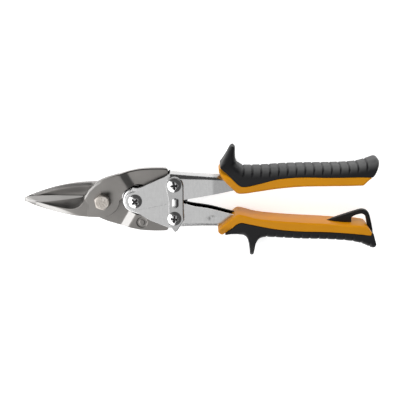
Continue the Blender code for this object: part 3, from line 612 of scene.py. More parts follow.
def blade_ladder():
    """Rungs of the front blade from the jaw's tip, round the hub, to the end of its tang."""
    jaw = [(-55.8, 0.9, -55.75, 1.1), (-54.6, -1.0, -54.2, 1.9), (-51.0, -3.1, -50.0, 2.5),
           (-45.5, -5.2, -44.0, 2.8), (-39.5, -7.2, -38.0, 2.95), (-32.3, -9.2, -31.0, 3.0),
           (-24.0, -10.7, -23.4, 2.9), (-17.0, -11.45, -17.0, 2.8), (-12.0, -11.75, -13.6, 2.7)]
    hub_left = [(-12.0, -11.75, -13.6, 2.7), (-10.3, -11.85, -12.4, 3.6), (-7.0, -11.95, -9.4, 8.2)]
    hub = [(-7.0, -11.95, -9.4, 8.2), (-2.0, -12.0, -3.0, 13.8), (2.0, -11.5, 1.6, 15.9),
           (6.0, -9.8, 5.6, 17.3), (9.6, -6.3, 8.6, 18.3), (11.3, -2.2, 11.0, 19.0),
           (11.5, 0.0, 12.0, 19.25)]
    hollow = [(11.5, 0.0, 12.0, 19.25), (12.72, 0.68, 13.0, 19.5), (13.29, 3.35, 14.2, 19.75),
              (14.57, 5.76, 15.6, 20.05), (16.47, 7.72, 17.3, 20.4), (18.83, 9.09, 19.4, 20.95)]
    tang = [(18.83, 9.09, 19.4, 20.95), (24.5, 11.0, 25.0, 22.1), (31.0, 9.6, 31.8, 22.7),
            (38.0, 7.9, 38.0, 22.85), (43.0, 7.3, 42.6, 22.75), (43.9, 7.2, 44.2, 22.6)]
    shoulder = [(43.9, 7.2, 44.2, 22.6), (44.3, 7.15, 45.2, 21.8), (44.7, 7.1, 45.4, 19.0),
                (45.0, 7.1, 45.2, 16.6)]
    end = [(45.0, 7.1, 45.2, 16.6), (46.6, 7.0, 46.5, 16.0), (49.89, 6.86, 48.0, 16.9),
           (52.3, 7.45, 50.6, 17.2), (54.2, 9.15, 52.6, 16.5), (55.0, 11.2, 54.3, 14.9),
           (55.05, 12.8, 54.9, 13.6)]
    return rungs([jaw, hub_left, hub, hollow, tang, shoulder, end], 0.3)


def along_joggle(x, y):
    """Distance along the joggle's own direction, as a share of the way through the joggle."""
    way = x * math.cos(JOGGLE_TURN) + y * math.sin(JOGGLE_TURN)
    return (way - JOGGLE_START) / (JOGGLE_END - JOGGLE_START)


def bevel_width(x, at_tip):
    """Width of the outer edge's bevel: even along the jaw's front half, narrower towards the hub."""
    return at_tip - BEVEL_NARROWING * ease((x + 34.0) / 22.0)


def blade_front(x, y, from_low, from_high):
    """Level of the front face: hub, joggle down to the tang, and the ground jaw.

    On the jaw a flat facet rises from the cutting edge to its foot line. From there a hollow climbs evenly to
    its lower line, less half a sine wave, and meets the jaw's sloping plane. A straight bevel takes off the
    jaw's outer edge.
    """
    level = HUB_FRONT + (TANG_HALF - HUB_FRONT) * ramp(along_joggle(x, y))
    jaw_plane = JAW_TIP_LEVEL + (x - JAW_TIP_X) * JAW_RISE
    bevel = np.minimum(bevel_width(x, BEVEL_WIDTH), (jaw_plane - 0.5) / BEVEL_SLOPE)
    edge = height_at(x, CUTTING_LINE)
    foot = height_at(x, FACET_FOOT)
    lowest = height_at(x, RECESS_FOOT)
    facet = EDGE_LEVEL + FACET_SLOPE * np.maximum(edge - y, 0.0)
    facet_foot = EDGE_LEVEL + FACET_SLOPE * np.maximum(edge - foot, 0.0)
    spot = np.clip((y - lowest) / np.maximum(foot - lowest, 0.2), 0.0, 1.0)
    hollow = facet_foot + (jaw_plane - facet_foot) * (1 - spot) - HOLLOW_SAG * np.sin(math.pi * spot)
    jaw = np.where(y > foot, facet, np.where(x < -47.5, np.minimum(jaw_plane, facet), hollow))
    jaw = jaw - BEVEL_SLOPE * np.clip(bevel - from_low, 0.0, None)
    step = ease((x - height_at(y, STEP_LINE)) / 0.9 + 0.5)
    return np.where(x > 5.0, level, jaw + (level - jaw) * step)


def blade_back(x, y, from_low, from_high):
    """Level of the rear face: flat, with a ground band along the jaw's outer edge and the joggle.

    Behind the band runs a shallow hollow, a bell curve across the jaw.
    """
    level = SHEAR_GAP - (TANG_HALF + SHEAR_GAP) * ramp(along_joggle(x, y) - 0.06)
    band = np.clip((2.4 - from_low) / 2.0, 0.0, 1.0) * ease((-3.0 - x) / 6.0) * ease((x - JAW_TIP_X) / 6.0)
    bell = np.exp(-((from_low - 4.6) / 2.4) ** 2)
    hollow = 0.55 * bell * ease((-4.0 - x) / 12.0) * ease((x + 54.0) / 12.0)
    return level + 0.9 * band + hollow


def blade_tone(grid, rims):
    """Tone of a blade's points; rims is how many of the grid's columns lie on the rounding of a rung's end.

    The front starts at 0.5. The jaw's hollow and the strip before the hub are darker, and a painted shadow of
    the bolt's head lies beside it; the facet and the bevel are brighter, and painted highlights lie on the
    joggle, the rims of the hub and the tang's edge, with painted shade on the rounding just inside that edge.
    The rear starts at 0.44, with a darker strip along its hollow, a brighter ground band and a painted
    highlight on the joggle.
    """
    x, y = grid[..., 0], grid[..., 1]
    half = grid.shape[1] // 2
    foot = height_at(x, FACET_FOOT)
    lowest = height_at(x, RECESS_FOOT)
    in_jaw = ease((-13.2 - x) / 1.0)
    dark = ease((foot - y) / 0.4) * ease((y - lowest) / 0.5) * ease((x + 47.0) / 4.0) * in_jaw
    bright = ease((y - foot + 0.2) / 0.4) * in_jaw
    to_hub = ease((x + 30.0) / 14.0) * ease((height_at(y, STEP_LINE) - x) / 0.6)
    before_hub = ease((lowest - y) / 0.6) * to_hub
    # painted shadow of the bolt's head on the hub, above and right of it
    painted_bolt_shadow = np.exp(-((x - 3.9) / 2.4) ** 2 - ((y - 5.3) / 1.7) ** 2)
    out = np.linalg.norm(grid[..., :2] - grid[:, :1, :2], axis=-1)
    bevel = ease((bevel_width(x, BRIGHT_WIDTH) - out) / 0.5) * ease((-17.0 - x) / 12.0)
    # painted highlight over the joggle's slope, on the front here and on the rear below
    share = along_joggle(x, y)
    joggle = ease((share + 0.05) / 0.1) * ease((1.05 - share) / 0.1)
    tone = 0.5 - 0.22 * dark + 0.26 * bright - 0.2 * before_hub - 0.5 * painted_bolt_shadow
    tone = tone + 0.42 * bevel + 0.25 * joggle

    # painted highlight on the rounded rims of the hub
    rim = slice(half - rims, half)
    tone[:, rim] += 0.3 * ease((x[:, rim] + 14.0) / 1.5) * ease((1.0 - x[:, rim]) / 4.0)

    rear = slice(half, None)
    rear_x = x[:, rear]
    away = np.linalg.norm(grid[:, rear, :2] - grid[:, -1:, :2], axis=-1)
    inner = 0.30 * np.exp(-((away - 4.8) / 2.2) ** 2) * ease((-2.0 - rear_x) / 8.0)
    ground = 0.24 * ease((3.0 - away) / 1.2) * ease((-3.0 - rear_x) / 6.0)
    tone[:, rear] = 0.44 - inner + ground + 0.5 * joggle[:, rear]

    # painted highlight along the tang's edge, and painted shade on the rounding just inside it
    tang = ease((x - 8.0) / 8.0)
    edge = slice(half - 1, half + 1)
    tone[:, edge] += 0.4 * tang[:, edge]
    chamfer = slice(half - rims, half - 2)
    tone[:, chamfer] -= 0.42 * tang[:, chamfer]
    return np.clip(tone, 0.0, 1.0)


def turn_over(grid):
    """The same blade turned half round about the tool's axis."""
    return grid * np.array([1.0, -1.0, -1.0])


def blades():
    """Both blades; the rear one has a shallow round mark pressed in its tang."""
    steel = blade_steel()
    ladder = blade_ladder()
    high_x = ladder[:, 2:3]
    notch = ease((high_x + 14.5) / 1.5) * ease((1.5 - high_x) / 4.0)
    tang = ease((high_x - 3.0) / 6.0)
    front = slab(ladder, blade_front, blade_back, rim=(0.5, 0.12 + 1.9 * notch + 0.8 * tang),
                 depth=(0.4, 0.1 + 0.6 * notch + 0.7 * tang), steps=64)
    piece("lower_jaw", [loft(front)], steel, ["lower_jaw_blade"], blade_tone(front, 6))

    def marked_back(x, y, from_low, from_high):
        away = np.hypot(x - MARK_X, y - MARK_Y)
        mark = 0.4 * ease((MARK_RADIUS - away) / 0.5) - 0.22 * ease((MARK_MIDDLE - away) / 0.5)
        return blade_back(x, y, from_low, from_high) + mark

    rear = slab(ladder, blade_front, marked_back, rim=(0.3, 0.12 + 0.3 * tang),
                depth=(0.25, 0.1 + 0.25 * tang), steps=64)
    piece("upper_jaw", [loft(turn_over(rear))], steel, ["upper_jaw_blade"],
          blade_tone(rear, 2))


# ---------------------------------------------------------------- channels
WALL_POINTS = 13                # points across a wall and round a bend of a channel's section
BEND_POINTS = 10


def channel_loops(ladder, half, bend):
    """Closed loops of a U section: from the front wall's free edge round the web to the rear wall, and back.

    Each rung runs from the wall's free edge to the web. The outer skin is a wall, a quarter circle of the
    bend's radius, the web, a quarter circle and the other wall; the inner skin is the same, one sheet inside.
    """
    width = np.linalg.norm(ladder[:, 2:4] - ladder[:, :2], axis=1)[:, None]
    half = half[:, None]
    bend = np.broadcast_to(bend, len(ladder))[:, None]
    turn = np.linspace(0.0, math.pi / 2, BEND_POINTS)[None, :]
    wall = np.linspace(0.0, 1.0, WALL_POINTS, endpoint=False)[None, :]

    def skin(inset):
        radius = bend - inset
        side = half - inset
        top = width - inset
        over = np.hstack([wall * (top - radius), top - radius + radius * np.sin(turn)])
        out = np.hstack([side + 0 * wall * width, side - radius + radius * np.cos(turn) + 0 * width])
        return np.hstack([over, over[:, ::-1]]), np.hstack([out, -out[:, ::-1]])

    outer, outer_z = skin(0.0)
    inner, inner_z = skin(SHEET)
    over = np.hstack([outer, inner[:, ::-1]]) / width
    return np.stack([ladder[:, 0:1] + over * (ladder[:, 2:3] - ladder[:, 0:1]),
                     ladder[:, 1:2] + over * (ladder[:, 3:4] - ladder[:, 1:2]),
                     np.hstack([outer_z, inner_z[:, ::-1]])], axis=-1)


def wall_pair(ladder, half, nose, coined):
    """Front and rear wall of a channel where it has no web.

    The nose is rounded off over the coined width inside its radius: the wall falls by a quarter circle's
    height there, 1 less the root of 1 - (1 - share of the width)^2.
    """
    def outside(x, y, from_low, from_high):
        inside = np.clip((nose - np.hypot(x - FULCRUM[0], y - FULCRUM[1])) / coined, 0.0, 1.0)
        quarter = 1 - np.sqrt(1 - (1 - inside) ** 2)
        return half - 0.62 * min(coined, SHEET) * quarter * ease((FULCRUM[0] + 3.0 - x) / 6.0)

    def inside_face(x, y, from_low, from_high):
        return half - SHEET

    front = slab(ladder, outside, inside_face, rim=(0.2, 0.2), steps=44)
    rear = front[:, ::-1] * np.array([1.0, 1.0, -1.0])
    return [front, rear]


def channel_tones(walls, loops, neck, bend):
    """Tone of a channel's points: bright plating outside; inside and on the free edges bare steel, near black
    as painted shade.

    neck is how much darker the plating is painted from the neck on, as painted shade, and bend how much
    darker over the bends and web, as a painted dark reflection.
    """
    tones = []
    for grid in walls + [loops]:
        # painted shade on the plating from the neck on
        tone = 0.5 - neck * ease((grid[..., 0] - 75.5) / 2.5)
        half = grid.shape[1] // 2
        # inside and free edges: bare steel, painted near black as shade
        inner = slice(half - 1, -1) if grid is not walls[1] else slice(0, half)
        tone[:, inner] = 0.0
        tones.append(tone)
    web = slice(WALL_POINTS + 6, WALL_POINTS + 2 * BEND_POINTS - 6)
    # painted dark reflection over the bends and the web
    tones[2][:, web] -= bend
    return np.concatenate([np.ravel(tone) for tone in tones])


def upper_channel(look):
    """Outer channel: round nose over the fulcrum, then a web from the tang's shoulder into the grip."""
    nose = [(15.52, -0.5, 15.52, 0.5), (16.16, -2.96, 15.9, 2.3), (18.0, -5.36, 17.14, 4.5),
            (20.1, -6.58, 19.0, 7.0), (22.5, -7.0, 21.4, 9.9)]
    cheek = [(22.5, -7.0, 21.4, 9.9), (24.3, -6.7, 23.0, 9.5), (26.0, -6.1, 24.6, 9.5),
             (32.8, -4.8, 31.7, 12.4), (40.0, -3.2, 38.5, 15.5), (45.0, -2.1, 43.6, 17.8),
             (48.5, -1.25, 46.9, 20.25)]
    arm = [(48.5, -1.25, 46.9, 20.25), (58.7, 1.4, 60.0, 19.15), (70.0, 3.4, 70.0, 18.3),
           (84.0, 6.1, 84.0, 17.3), (94.0, 8.2, 95.0, 17.2), (106.0, 9.8, 108.0, 18.0),
           (122.0, 12.2, 125.0, 19.5), (137.0, 13.4, 140.0, 20.0), (170.0, 14.2, 170.0, 20.4)]
    ladder = rungs([arm], 0.5)
    half = OUTER_HALF - (OUTER_HALF - NECK_HALF) * np.clip((ladder[:, 0] - 76.5) / 20.0, 0.0, 1.0)
    bend = BEND + BEND_EXTRA * (1 - ease((ladder[:, 0] - 48.0) / 32.0))
    walls = wall_pair(rungs([nose, cheek], 0.3), OUTER_HALF, UPPER_NOSE, UPPER_COINED)
    loops = channel_loops(ladder, half, bend)
    # tone: painted shade from the neck on, and a painted dark reflection over the bends and web
    piece("upper_arm", [loft(grid) for grid in walls + [loops]], look, ["upper_handle_channel"],
          channel_tones(walls, loops, 0.15, 0.10))


def lower_channel(look):
    """Inner channel; a rung runs from its free top edge down to the web.

    The press leaves a dent in each wall, a bell curve in x and y, and the free edge sinks towards the grip.
    """
    nose = [(13.52, 0.6, 13.52, -0.6), (14.04, 3.08, 14.04, -3.08), (16.14, 6.36, 16.14, -6.36),
            (19.4, 8.46, 19.4, -8.46), (22.5, 9.0, 22.5, -9.1), (26.0, 8.3, 26.0, -10.3)]
    cheek = [(26.0, 8.3, 26.0, -10.3), (31.0, 6.7, 30.5, -13.4), (40.0, 3.6, 38.2, -16.9),
             (45.9, 1.6, 45.6, -20.0)]
    heel = [(45.9, 1.6, 45.6, -20.0), (48.5, 0.8, 48.3, -20.3), (51.0, -0.1, 51.0, -20.6)]
    arm = [(51.0, -0.1, 51.0, -20.6), (58.6, -2.6, 60.0, -20.35), (74.7, -5.4, 74.7, -20.1),
           (90.9, -9.6, 90.0, -20.3), (106.0, -12.7, 106.0, -21.4), (122.0, -15.1, 122.0, -23.0),
           (140.0, -16.3, 140.0, -24.0), (170.0, -18.0, 170.0, -24.8)]
    ladder = rungs([arm], 0.5)
    loops = channel_loops(ladder, np.full(len(ladder), INNER_HALF), LOWER_BEND)
    x, y, z = loops[..., 0], loops[..., 1], loops[..., 2]
    dent = DENT_DEPTH * np.exp(-((x - DENT_X) / 3.2) ** 2 - ((y - DENT_Y) / 2.6) ** 2)
    loops[..., 2] = z - np.sign(z) * dent * (np.abs(z) > INNER_HALF - SHEET - 0.01)
    lowered = np.zeros(loops.shape[1])
    lowered[:WALL_POINTS] = 1 - np.arange(WALL_POINTS) / WALL_POINTS
    lowered[-WALL_POINTS:] = lowered[WALL_POINTS - 1::-1]
    loops[..., 1] = y - EDGE_DROP * lowered * ease((x - 52.0) / 14.0)
    walls = wall_pair(rungs([nose, cheek, heel], 0.3), INNER_HALF, LOWER_NOSE, LOWER_COINED)
    # tone: painted shade from the neck on, and a painted dark reflection over the bends and web
    piece("lower_arm", [loft(grid) for grid in walls + [loops]], look, ["lower_handle_channel"],
          channel_tones(walls, loops, 0.04, 0.22))


# ---------------------------------------------------------------- latch, fasteners, spring
def latch(look):
    """Latch plate: round top, a waist, a hook round the lower sleeve, and a rib between the screws.

    The face's tone is a little under 0.5, and lower still on a painted shade crescent over the upper screw.
    """
    x0, y0 = LOWER_TANG
    top = [(49.2, 18.03, 50.6, 18.03), (46.9, 17.26, 52.9, 17.26), (44.7, 15.06, 54.8, 15.5),
           (43.9, 12.4, 55.6, 13.9), (43.95, 10.6, 56.1, 12.0), (44.6, 7.0, 56.25, 8.0),
           (45.5, 2.5, 56.27, 3.0), (45.8, 0.2, 56.28, 0.0), (45.75, -5.0, 56.3, -5.0),
           (45.7, -9.86, 56.35, -9.3)]
    mouth = [(45.7, -9.86, 56.35, -9.3), (47.4, -9.28, 56.45, -10.3), (49.0, -8.73, 56.5, -10.9)]
    hook = [(49.0, -8.73, 56.5, -10.9), (x0 + 1.73, y0 + 2.99, 56.55, -11.4),
            (x0 + 3.13, y0 + 1.46, 56.6, -12.0), (x0 + 3.45, y0, 56.7, -12.6),
            (x0 + 3.13, y0 - 1.46, 56.8, -13.3), (x0 + 1.73, y0 - 2.99, 56.1, -14.3),
            (49.0, -15.39, 55.2, -15.7)]
    lip = [(49.0, -15.39, 55.2, -15.7), (47.4, -15.97, 54.6, -16.7), (45.9, -16.6, 54.1, -17.5)]
    tab = [(45.9, -16.6, 54.1, -17.5), (47.2, -18.2, 53.3, -18.9), (48.4, -19.9, 52.5, -20.2),
           (49.03, -21.05, 51.97, -21.05), (50.1, -21.85, 50.9, -21.85)]

    def face(x, y, from_low, from_high):
        rib = ease((2.6 - np.abs(x - 50.6)) / 2.4) * ease((4.4 - np.abs(y + 0.6)) / 3.0)
        return LATCH_FRONT + LATCH_RIB * rib

    def rear(x, y, from_low, from_high):
        return LATCH_BACK + 0 * x

    ladder = rungs([top, mouth, hook, lip, tab], 0.25)
    grid = slab(ladder, face, rear, rim=(0.6, 0.8), depth=(0.5, 0.6), steps=44)
    # painted shade crescent along the plate's round top, round the upper screw
    far = np.hypot(grid[..., 0] - UPPER_TANG[0], grid[..., 1] - UPPER_TANG[1])
    painted_crescent_shade = np.exp(-((far - 4.9) / 0.6) ** 2) * ease((grid[..., 1] - UPPER_TANG[1] + 1.0) / 3.0)
    on_face = ease((grid[..., 2] - LATCH_FRONT + 0.35) / 0.2)
    tone = 0.5 - on_face * (0.1 + 0.26 * painted_crescent_shade)
    piece("latch", [loft(grid)], look, ["latch_plate"], tone)


def screw(name, node, turn, look):
    """Domed head with a cross recess, over its shank.

    The dome's level over its rim is its height times 1 - (r/R)^2, less the cross: the greater of two bars,
    each the product of a ramp along and a ramp across it.
    """
    low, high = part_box(node)
    centre = (box_centre(node) - ORIGIN)[:2] / MM
    radius = (high[0] - low[0]) / 2 / MM
    top = level(node, 1)
    seat = top - HEAD_RIM - HEAD_DOME
    angle = np.linspace(0.0, 2 * math.pi, 120, endpoint=False)[:, None]
    r = radius * np.sin(np.linspace(0.0, math.pi / 2, 48))[None, :]
    dome = seat + HEAD_RIM + HEAD_DOME * (1 - (r / radius) ** 2)
    p = r * np.cos(angle - math.radians(turn))
    q = r * np.sin(angle - math.radians(turn))

    def bar(along, aside):
        return ease((CROSS_REACH - np.abs(along)) / 0.7) * ease((CROSS_HALF - np.abs(aside)) / 0.5)

    cross = np.maximum(bar(p, q), bar(q, p))
    z = dome - CROSS_DEPTH * cross
    head = np.stack([centre[0] + r * np.cos(angle), centre[1] + r * np.sin(angle), z], axis=-1)
    below = np.array([(radius, seat + 0.15), (radius - 0.15, seat), (SHANK_RADIUS, seat),
                      (SHANK_RADIUS, seat - SHANK_LENGTH), (0.0, seat - SHANK_LENGTH)])
    grid = np.concatenate([head, turned_grid(below, centre, angle)], axis=1)
    # painted shade in the cross recess
    tone = np.concatenate([0.5 * (1 - ease(cross * 1.4)), np.full((len(angle), len(below)), 0.5)], axis=1)
    piece(name, [round_faces(grid)], look, [node], tone.T)


def hex_radius(angle, corner, turn):
    """Distance from the middle to a hexagon's side: the apothem over the cosine of the angle off it."""
    off = (angle - math.radians(turn) + math.pi / 6) % (math.pi / 3) - math.pi / 6
    return corner * math.cos(math.pi / 6) / np.cos(math.pi / 6 - np.abs(off))


def spiral_dots(x, y):
    """Height of the raised dots: dot n stands n turns round, at a radius that goes as the root of n + 1/2."""
    raised = 0 * x
    for number in range(DOT_COUNT):
        turn = math.radians(DOT_TURN * number)
        radius = DOT_SPREAD * math.sqrt(number + 0.5)
        away = np.hypot(x - radius * math.cos(turn), y - radius * math.sin(turn))
        raised = raised + DOT_HEIGHT * ease((DOT_RADIUS - away) / 0.6)
    return raised


def pivot_bolt(look):
    """Hexagon head: flat top with small raised dots, a conical chamfer, six sides; then the shank."""
    low = HUB_FRONT + 0.2
    top = level("pivot_bolt", 1)
    foot = level("pivot_bolt", 0)
    angle = np.linspace(0.0, 2 * math.pi, HEX_STEPS, endpoint=False)[:, None]
    side = hex_radius(angle, HEX_CORNER, -18.5)
    flat = np.linspace(0.0, CHAMFER_START, 30)[None, :] + 0 * angle
    slope = np.linspace(0.0, 1.0, 8)[None, 1:]
    over = np.hstack([flat, CHAMFER_START + (side - CHAMFER_START) * slope])
    r = np.hstack([over, side, side - 0.15, 3.5 + 0 * side, 3.5 + 0 * side, 0 * side])
    fall = 0.13 + 0.50 * (over - CHAMFER_START).clip(0.0)
    under = np.array([low + 0.15, low, low, foot, foot])[None, :] + 0 * angle
    z = np.hstack([top - fall, under])
    x, y = r * np.cos(angle), r * np.sin(angle)
    z = z + np.where(z > low + 1.0, spiral_dots(x, y), 0.0)
    grid = np.stack([x, y, np.minimum(z, top)], axis=-1)
    piece("pivot_bolt_head", [round_faces(grid)], look, ["pivot_bolt"])


def pivot_nut(look):
    """Hexagon nut with chamfered corners and a bore."""
    low, high = level("pivot_nut", 0), level("pivot_nut", 1)
    angle = np.linspace(0.0, 2 * math.pi, HEX_STEPS, endpoint=False)[:, None]
    side = hex_radius(angle, HEX_CORNER, 6.0)
    even = 0 * side
    bore = NUT_BORE + even
    face = NUT_FACE + even
    chamfer = 0.5 * (side - NUT_FACE)
    r = np.hstack([bore, bore + 0.4, face, side, side, face, bore + 0.4, bore, bore])
    z = np.hstack([low + 0.4 + even, low + even, low + even, low + chamfer, high - chamfer,
                   high + even, high + even, high - 0.4 + even, low + 0.4 + even])
    grid = np.stack([r * np.cos(angle), r * np.sin(angle), z], axis=-1)
    piece("pivot_nut_body", [round_faces(grid)], look, ["pivot_nut"])


def pivot_washer(look):
    """Plain washer with rounded rims."""
    low, high = level("pivot_washer", 0), level("pivot_washer", 1)
    profile = [(3.8, low), (6.8, low), (6.95, low + 0.06), (7.0, low + 0.2), (7.0, high - 0.2),
               (6.95, high - 0.06), (6.8, high), (3.8, high), (3.8, low)]
    piece("pivot_washer_ring", [turned(profile, (0.0, 0.0))], look, ["pivot_washer"])


def sleeve(name, node, wall, look):
    """Headed sleeve nut: domed rear head with a round dimple, and a tube to the front."""
    centre = (box_centre(node) - ORIGIN)[:2] / MM
    low, front = level(node, 0), level(node, 1)
    seat = -wall - 0.2
    bend = np.linspace(0.0, math.pi / 2, 8)
    rim = [(3.75 + 1.05 * math.sin(a), low + 0.9 * (1 - math.cos(a))) for a in bend]
    dimple = [(0.0, low + 1.1), (1.3, low + 1.1), (1.7, low + 0.25), (1.95, low + 0.04), (2.3, low)]
    tube_wall = [(4.85, seat), (3.0, seat), (3.0, front), (2.25, front), (2.25, low + 1.4), (0.0, low + 1.4)]
    profile = dimple + rim + tube_wall
    piece(name, [turned(profile, centre)], look, [node])


def spring(look):
    """Return spring: a helix round the fulcrum, and to each side a straight leg with a hooked foot.

    The helix is (r cos a, r sin a) with its level going evenly from one side to the other.
    """
    lean = math.degrees(math.atan2(COIL_RADIUS, FOOT_X - FULCRUM[0]))
    half = COIL_PITCH * COIL_TURNS / 2
    turn = np.linspace(0.0, 1.0, 150)
    angle = np.radians(90.0 - lean + (360.0 * COIL_TURNS + 180.0 + 2 * lean) * turn)
    coil = np.stack([FULCRUM[0] + COIL_RADIUS * np.cos(angle), FULCRUM[1] + COIL_RADIUS * np.sin(angle),
                     half * (1 - 2 * turn)], axis=1)

    def leg(foot_y, side, end):
        corner = np.array([FOOT_X, foot_y, side * half])
        straight = end + (corner - end) * np.linspace(0.03, 0.965, 24)[:, None]
        turn_off = np.linspace(0.0, math.pi / 2, 7)[1:, None]
        way = (corner - end) / np.linalg.norm(corner - end)
        lift = np.array([0.0, 0.0, side])
        bend = straight[-1] + FOOT_BEND * (np.sin(turn_off) * way + (1 - np.cos(turn_off)) * lift)
        foot = bend[-1] + lift * np.linspace(0.3, OUTER_HALF + 0.6 - half - FOOT_BEND, 8)[:, None]
        return np.vstack([straight, bend, foot])

    path = np.vstack([leg(0.3, 1, coil[0])[::-1], coil, leg(-1.5, -1, coil[-1])])
    obj = piece("spring", [loft(tube(path, WIRE_RADIUS))], look, ["return_spring"])
    obj.parent = None
    del obj["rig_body"]
    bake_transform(obj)


# ---------------------------------------------------------------- grips
def grip_half(x, y):
    """Half thickness: full along the grip, less towards the thumb guard's and the finger spur's tips."""
    guard = 5.8 * ease((y - 21.0) / 20.0) * ease((97.0 - x) / 4.0)
    spur = 4.6 * ease((-28.5 - y) / 13.0) * ease((113.0 - x) / 5.0)
    return GRIP_HALF - guard - spur


def grooved(grid, first, outer, inner):
    """Depth of the grooves, 0 to 1: a parabola across each, fading from the outer line to the inner one."""
    x = grid[..., 0]
    number = np.round((x - first) / GROOVE_PITCH)
    away = np.abs(x - first - number * GROOVE_PITCH)
    cut = np.clip(1 - (away / GROOVE_HALF) ** 2, 0.0, 1.0) * (number >= 0) * (number < GROOVE_COUNT)
    return cut * ease((grid[..., 1] - inner) / (outer - inner))


def upper_core(look):
    """Orange side of the upper grip: flange round the channel, then the inner side."""
    flange = [(80.5, 22.7, 81.8, 23.9), (80.8, 20.4, 83.6, 22.8), (81.9, 18.3, 86.0, 20.7),
              (86.5, 13.3, 90.4, 16.3), (91.2, 8.6, 94.0, 12.9), (92.6, 7.2, 95.1, 12.1)]
    side = [(92.6, 7.2, 95.1, 12.1), (94.4, 6.5, 96.4, 11.6), (97.0, 6.45, 99.0, 11.5),
            (106.3, 7.7, 107.0, 13.2), (122.1, 10.1, 121.9, 17.0), (136.6, 11.4, 136.3, 18.2),
            (155.0, 11.8, 155.0, 18.05), (174.0, 12.1, 171.0, 18.2), (180.3, 12.3, 176.5, 18.35)]
    tip = [(180.3, 12.3, 176.5, 18.35), (183.0, 14.8, 181.5, 18.3), (185.7, 17.4, 185.5, 18.1)]
    ladder = rungs([flange, side, tip], 0.4)
    thin = ease((ladder[:, 1:2] - 13.0) / 8.0)

    def half(x, y):
        return grip_half(x, y) - 3.2 * ease((y - 16.5) / 7.0) * ease((92.0 - x) / 4.0)

    grid = slab(ladder, *both_faces(half), rim=(1.5 + 1.2 * thin, 0.3), depth=(1.5 + 3.5 * thin, 0.3),
                steps=22)
    piece("upper_orange", [loft(grid)], look, ["upper_grip_core"])


def upper_cover(look):
    """Black cover of the upper grip: thumb guard, ribbed crowned back and upturned end.

    The tone paints light on the ribs' crowns, a little less on their very tops, and paints shade in the
    grooves.
    """
    guard = [(89.1, 38.9, 90.8, 39.0), (88.2, 38.4, 91.6, 38.4), (87.1, 36.4, 91.85, 36.7),
             (85.8, 33.6, 91.8, 34.1), (84.4, 31.0, 91.9, 31.6), (83.0, 28.3, 92.2, 29.2),
             (81.8, 26.0, 92.9, 27.6), (81.5, 25.2, 93.2, 27.0)]
    neck = [(81.5, 25.2, 93.2, 27.0), (81.9, 24.6, 93.5, 26.6), (86.1, 20.9, 94.9, 25.4),
            (90.5, 16.5, 96.2, 24.5), (94.1, 13.0, 97.9, 23.95), (96.3, 11.8, 100.2, 23.8),
            (99.1, 11.7, 103.2, 23.85)]
    back = [(99.1, 11.7, 103.2, 23.85), (110.2, 14.1, 111.0, 24.05), (122.0, 17.2, 122.5, 24.8),
            (136.4, 18.4, 136.4, 25.3), (158.6, 18.2, 158.6, 25.7), (170.0, 18.4, 169.3, 26.1),
            (178.6, 18.5, 178.0, 27.2), (183.6, 18.35, 183.4, 28.9), (186.0, 18.3, 186.6, 30.1)]
    end = [(186.0, 18.3, 186.6, 30.1), (186.2, 18.35, 188.5, 30.6), (186.35, 18.45, 190.0, 30.2),
           (186.5, 18.55, 190.85, 29.0), (186.6, 18.65, 190.9, 27.7), (186.7, 18.75, 190.3, 25.4),
           (186.8, 18.85, 189.2, 22.6), (186.9, 18.95, 187.7, 20.0)]
    ladder = rungs([guard, neck, back, end], 0.24)
    guard_share = ease((ladder[:, 1:2] - 24.2) / 4.0)
    grid = slab(ladder, *both_faces(grip_half), rim=(0.3 + 2.7 * guard_share, 6.6 - 3.4 * guard_share),
                depth=(0.3 + 4.0 * guard_share, 6.8 - 3.0 * guard_share), steps=26)
    top = height_at(grid[..., 0], [(93.0, 24.2), (110.0, 24.05), (136.4, 25.3), (158.6, 25.7), (178.0, 27.4),
                                   (190.0, 30.0)])
    cut = grooved(grid, UPPER_GROOVE_X, top - 3.6, top - 6.0)
    grid = grid - outward(grid) * (GROOVE_DEPTH * cut)[..., None]
    # painted light on the ribs' crowns, stronger towards the end and less on their very tops
    crown = ease((grid[..., 1] - top + 6.4) / 5.6) * ease((grid[..., 0] - 93.0) / 6.0)
    crown = crown * (1 - 0.35 * ease((grid[..., 1] - top + 1.0) / 1.2))
    painted_crown_light = 0.34 + 0.14 * ease((grid[..., 0] - 100.0) / 60.0)
    # painted shade in the grooves, where they cross the crowns
    tone = 0.5 + painted_crown_light * crown - 0.9 * cut * crown
    piece("upper_black", [loft(grid)], look, ["upper_grip_cover"], np.clip(tone, 0.0, 1.0))


def lower_core(look):
    """Orange side of the lower grip: flange round the channel, then the broad inner side."""
    flange = [(84.0, -23.9, 82.0, -23.85), (85.0, -23.0, 80.8, -22.6), (86.6, -21.4, 80.4, -20.4),
              (90.0, -18.5, 83.0, -17.3), (94.0, -15.2, 91.0, -10.7), (95.2, -14.7, 92.9, -9.1)]
    side = [(95.2, -14.7, 92.9, -9.1), (96.8, -14.4, 94.6, -8.55), (99.5, -14.9, 98.0, -9.1),
            (105.5, -16.2, 104.9, -11.0), (121.9, -19.3, 121.8, -13.2), (137.5, -20.7, 137.4, -14.3),
            (156.0, -21.2, 155.8, -15.3), (169.0, -22.0, 168.5, -16.3), (180.0, -23.0, 181.0, -17.0),
            (184.5, -23.5, 184.8, -18.0), (187.2, -23.85, 187.8, -21.6)]
    def half(x, y):
        return GRIP_HALF - 3.0 * ease((-17.0 - y) / 8.0) * (x < 90.0)

    grid = slab(rungs([flange, side], 0.5), *both_faces(half), rim=(0.35, 1.1), depth=(0.35, 1.1), steps=22)
    piece("lower_orange", [loft(grid)], look, ["lower_grip_core"])


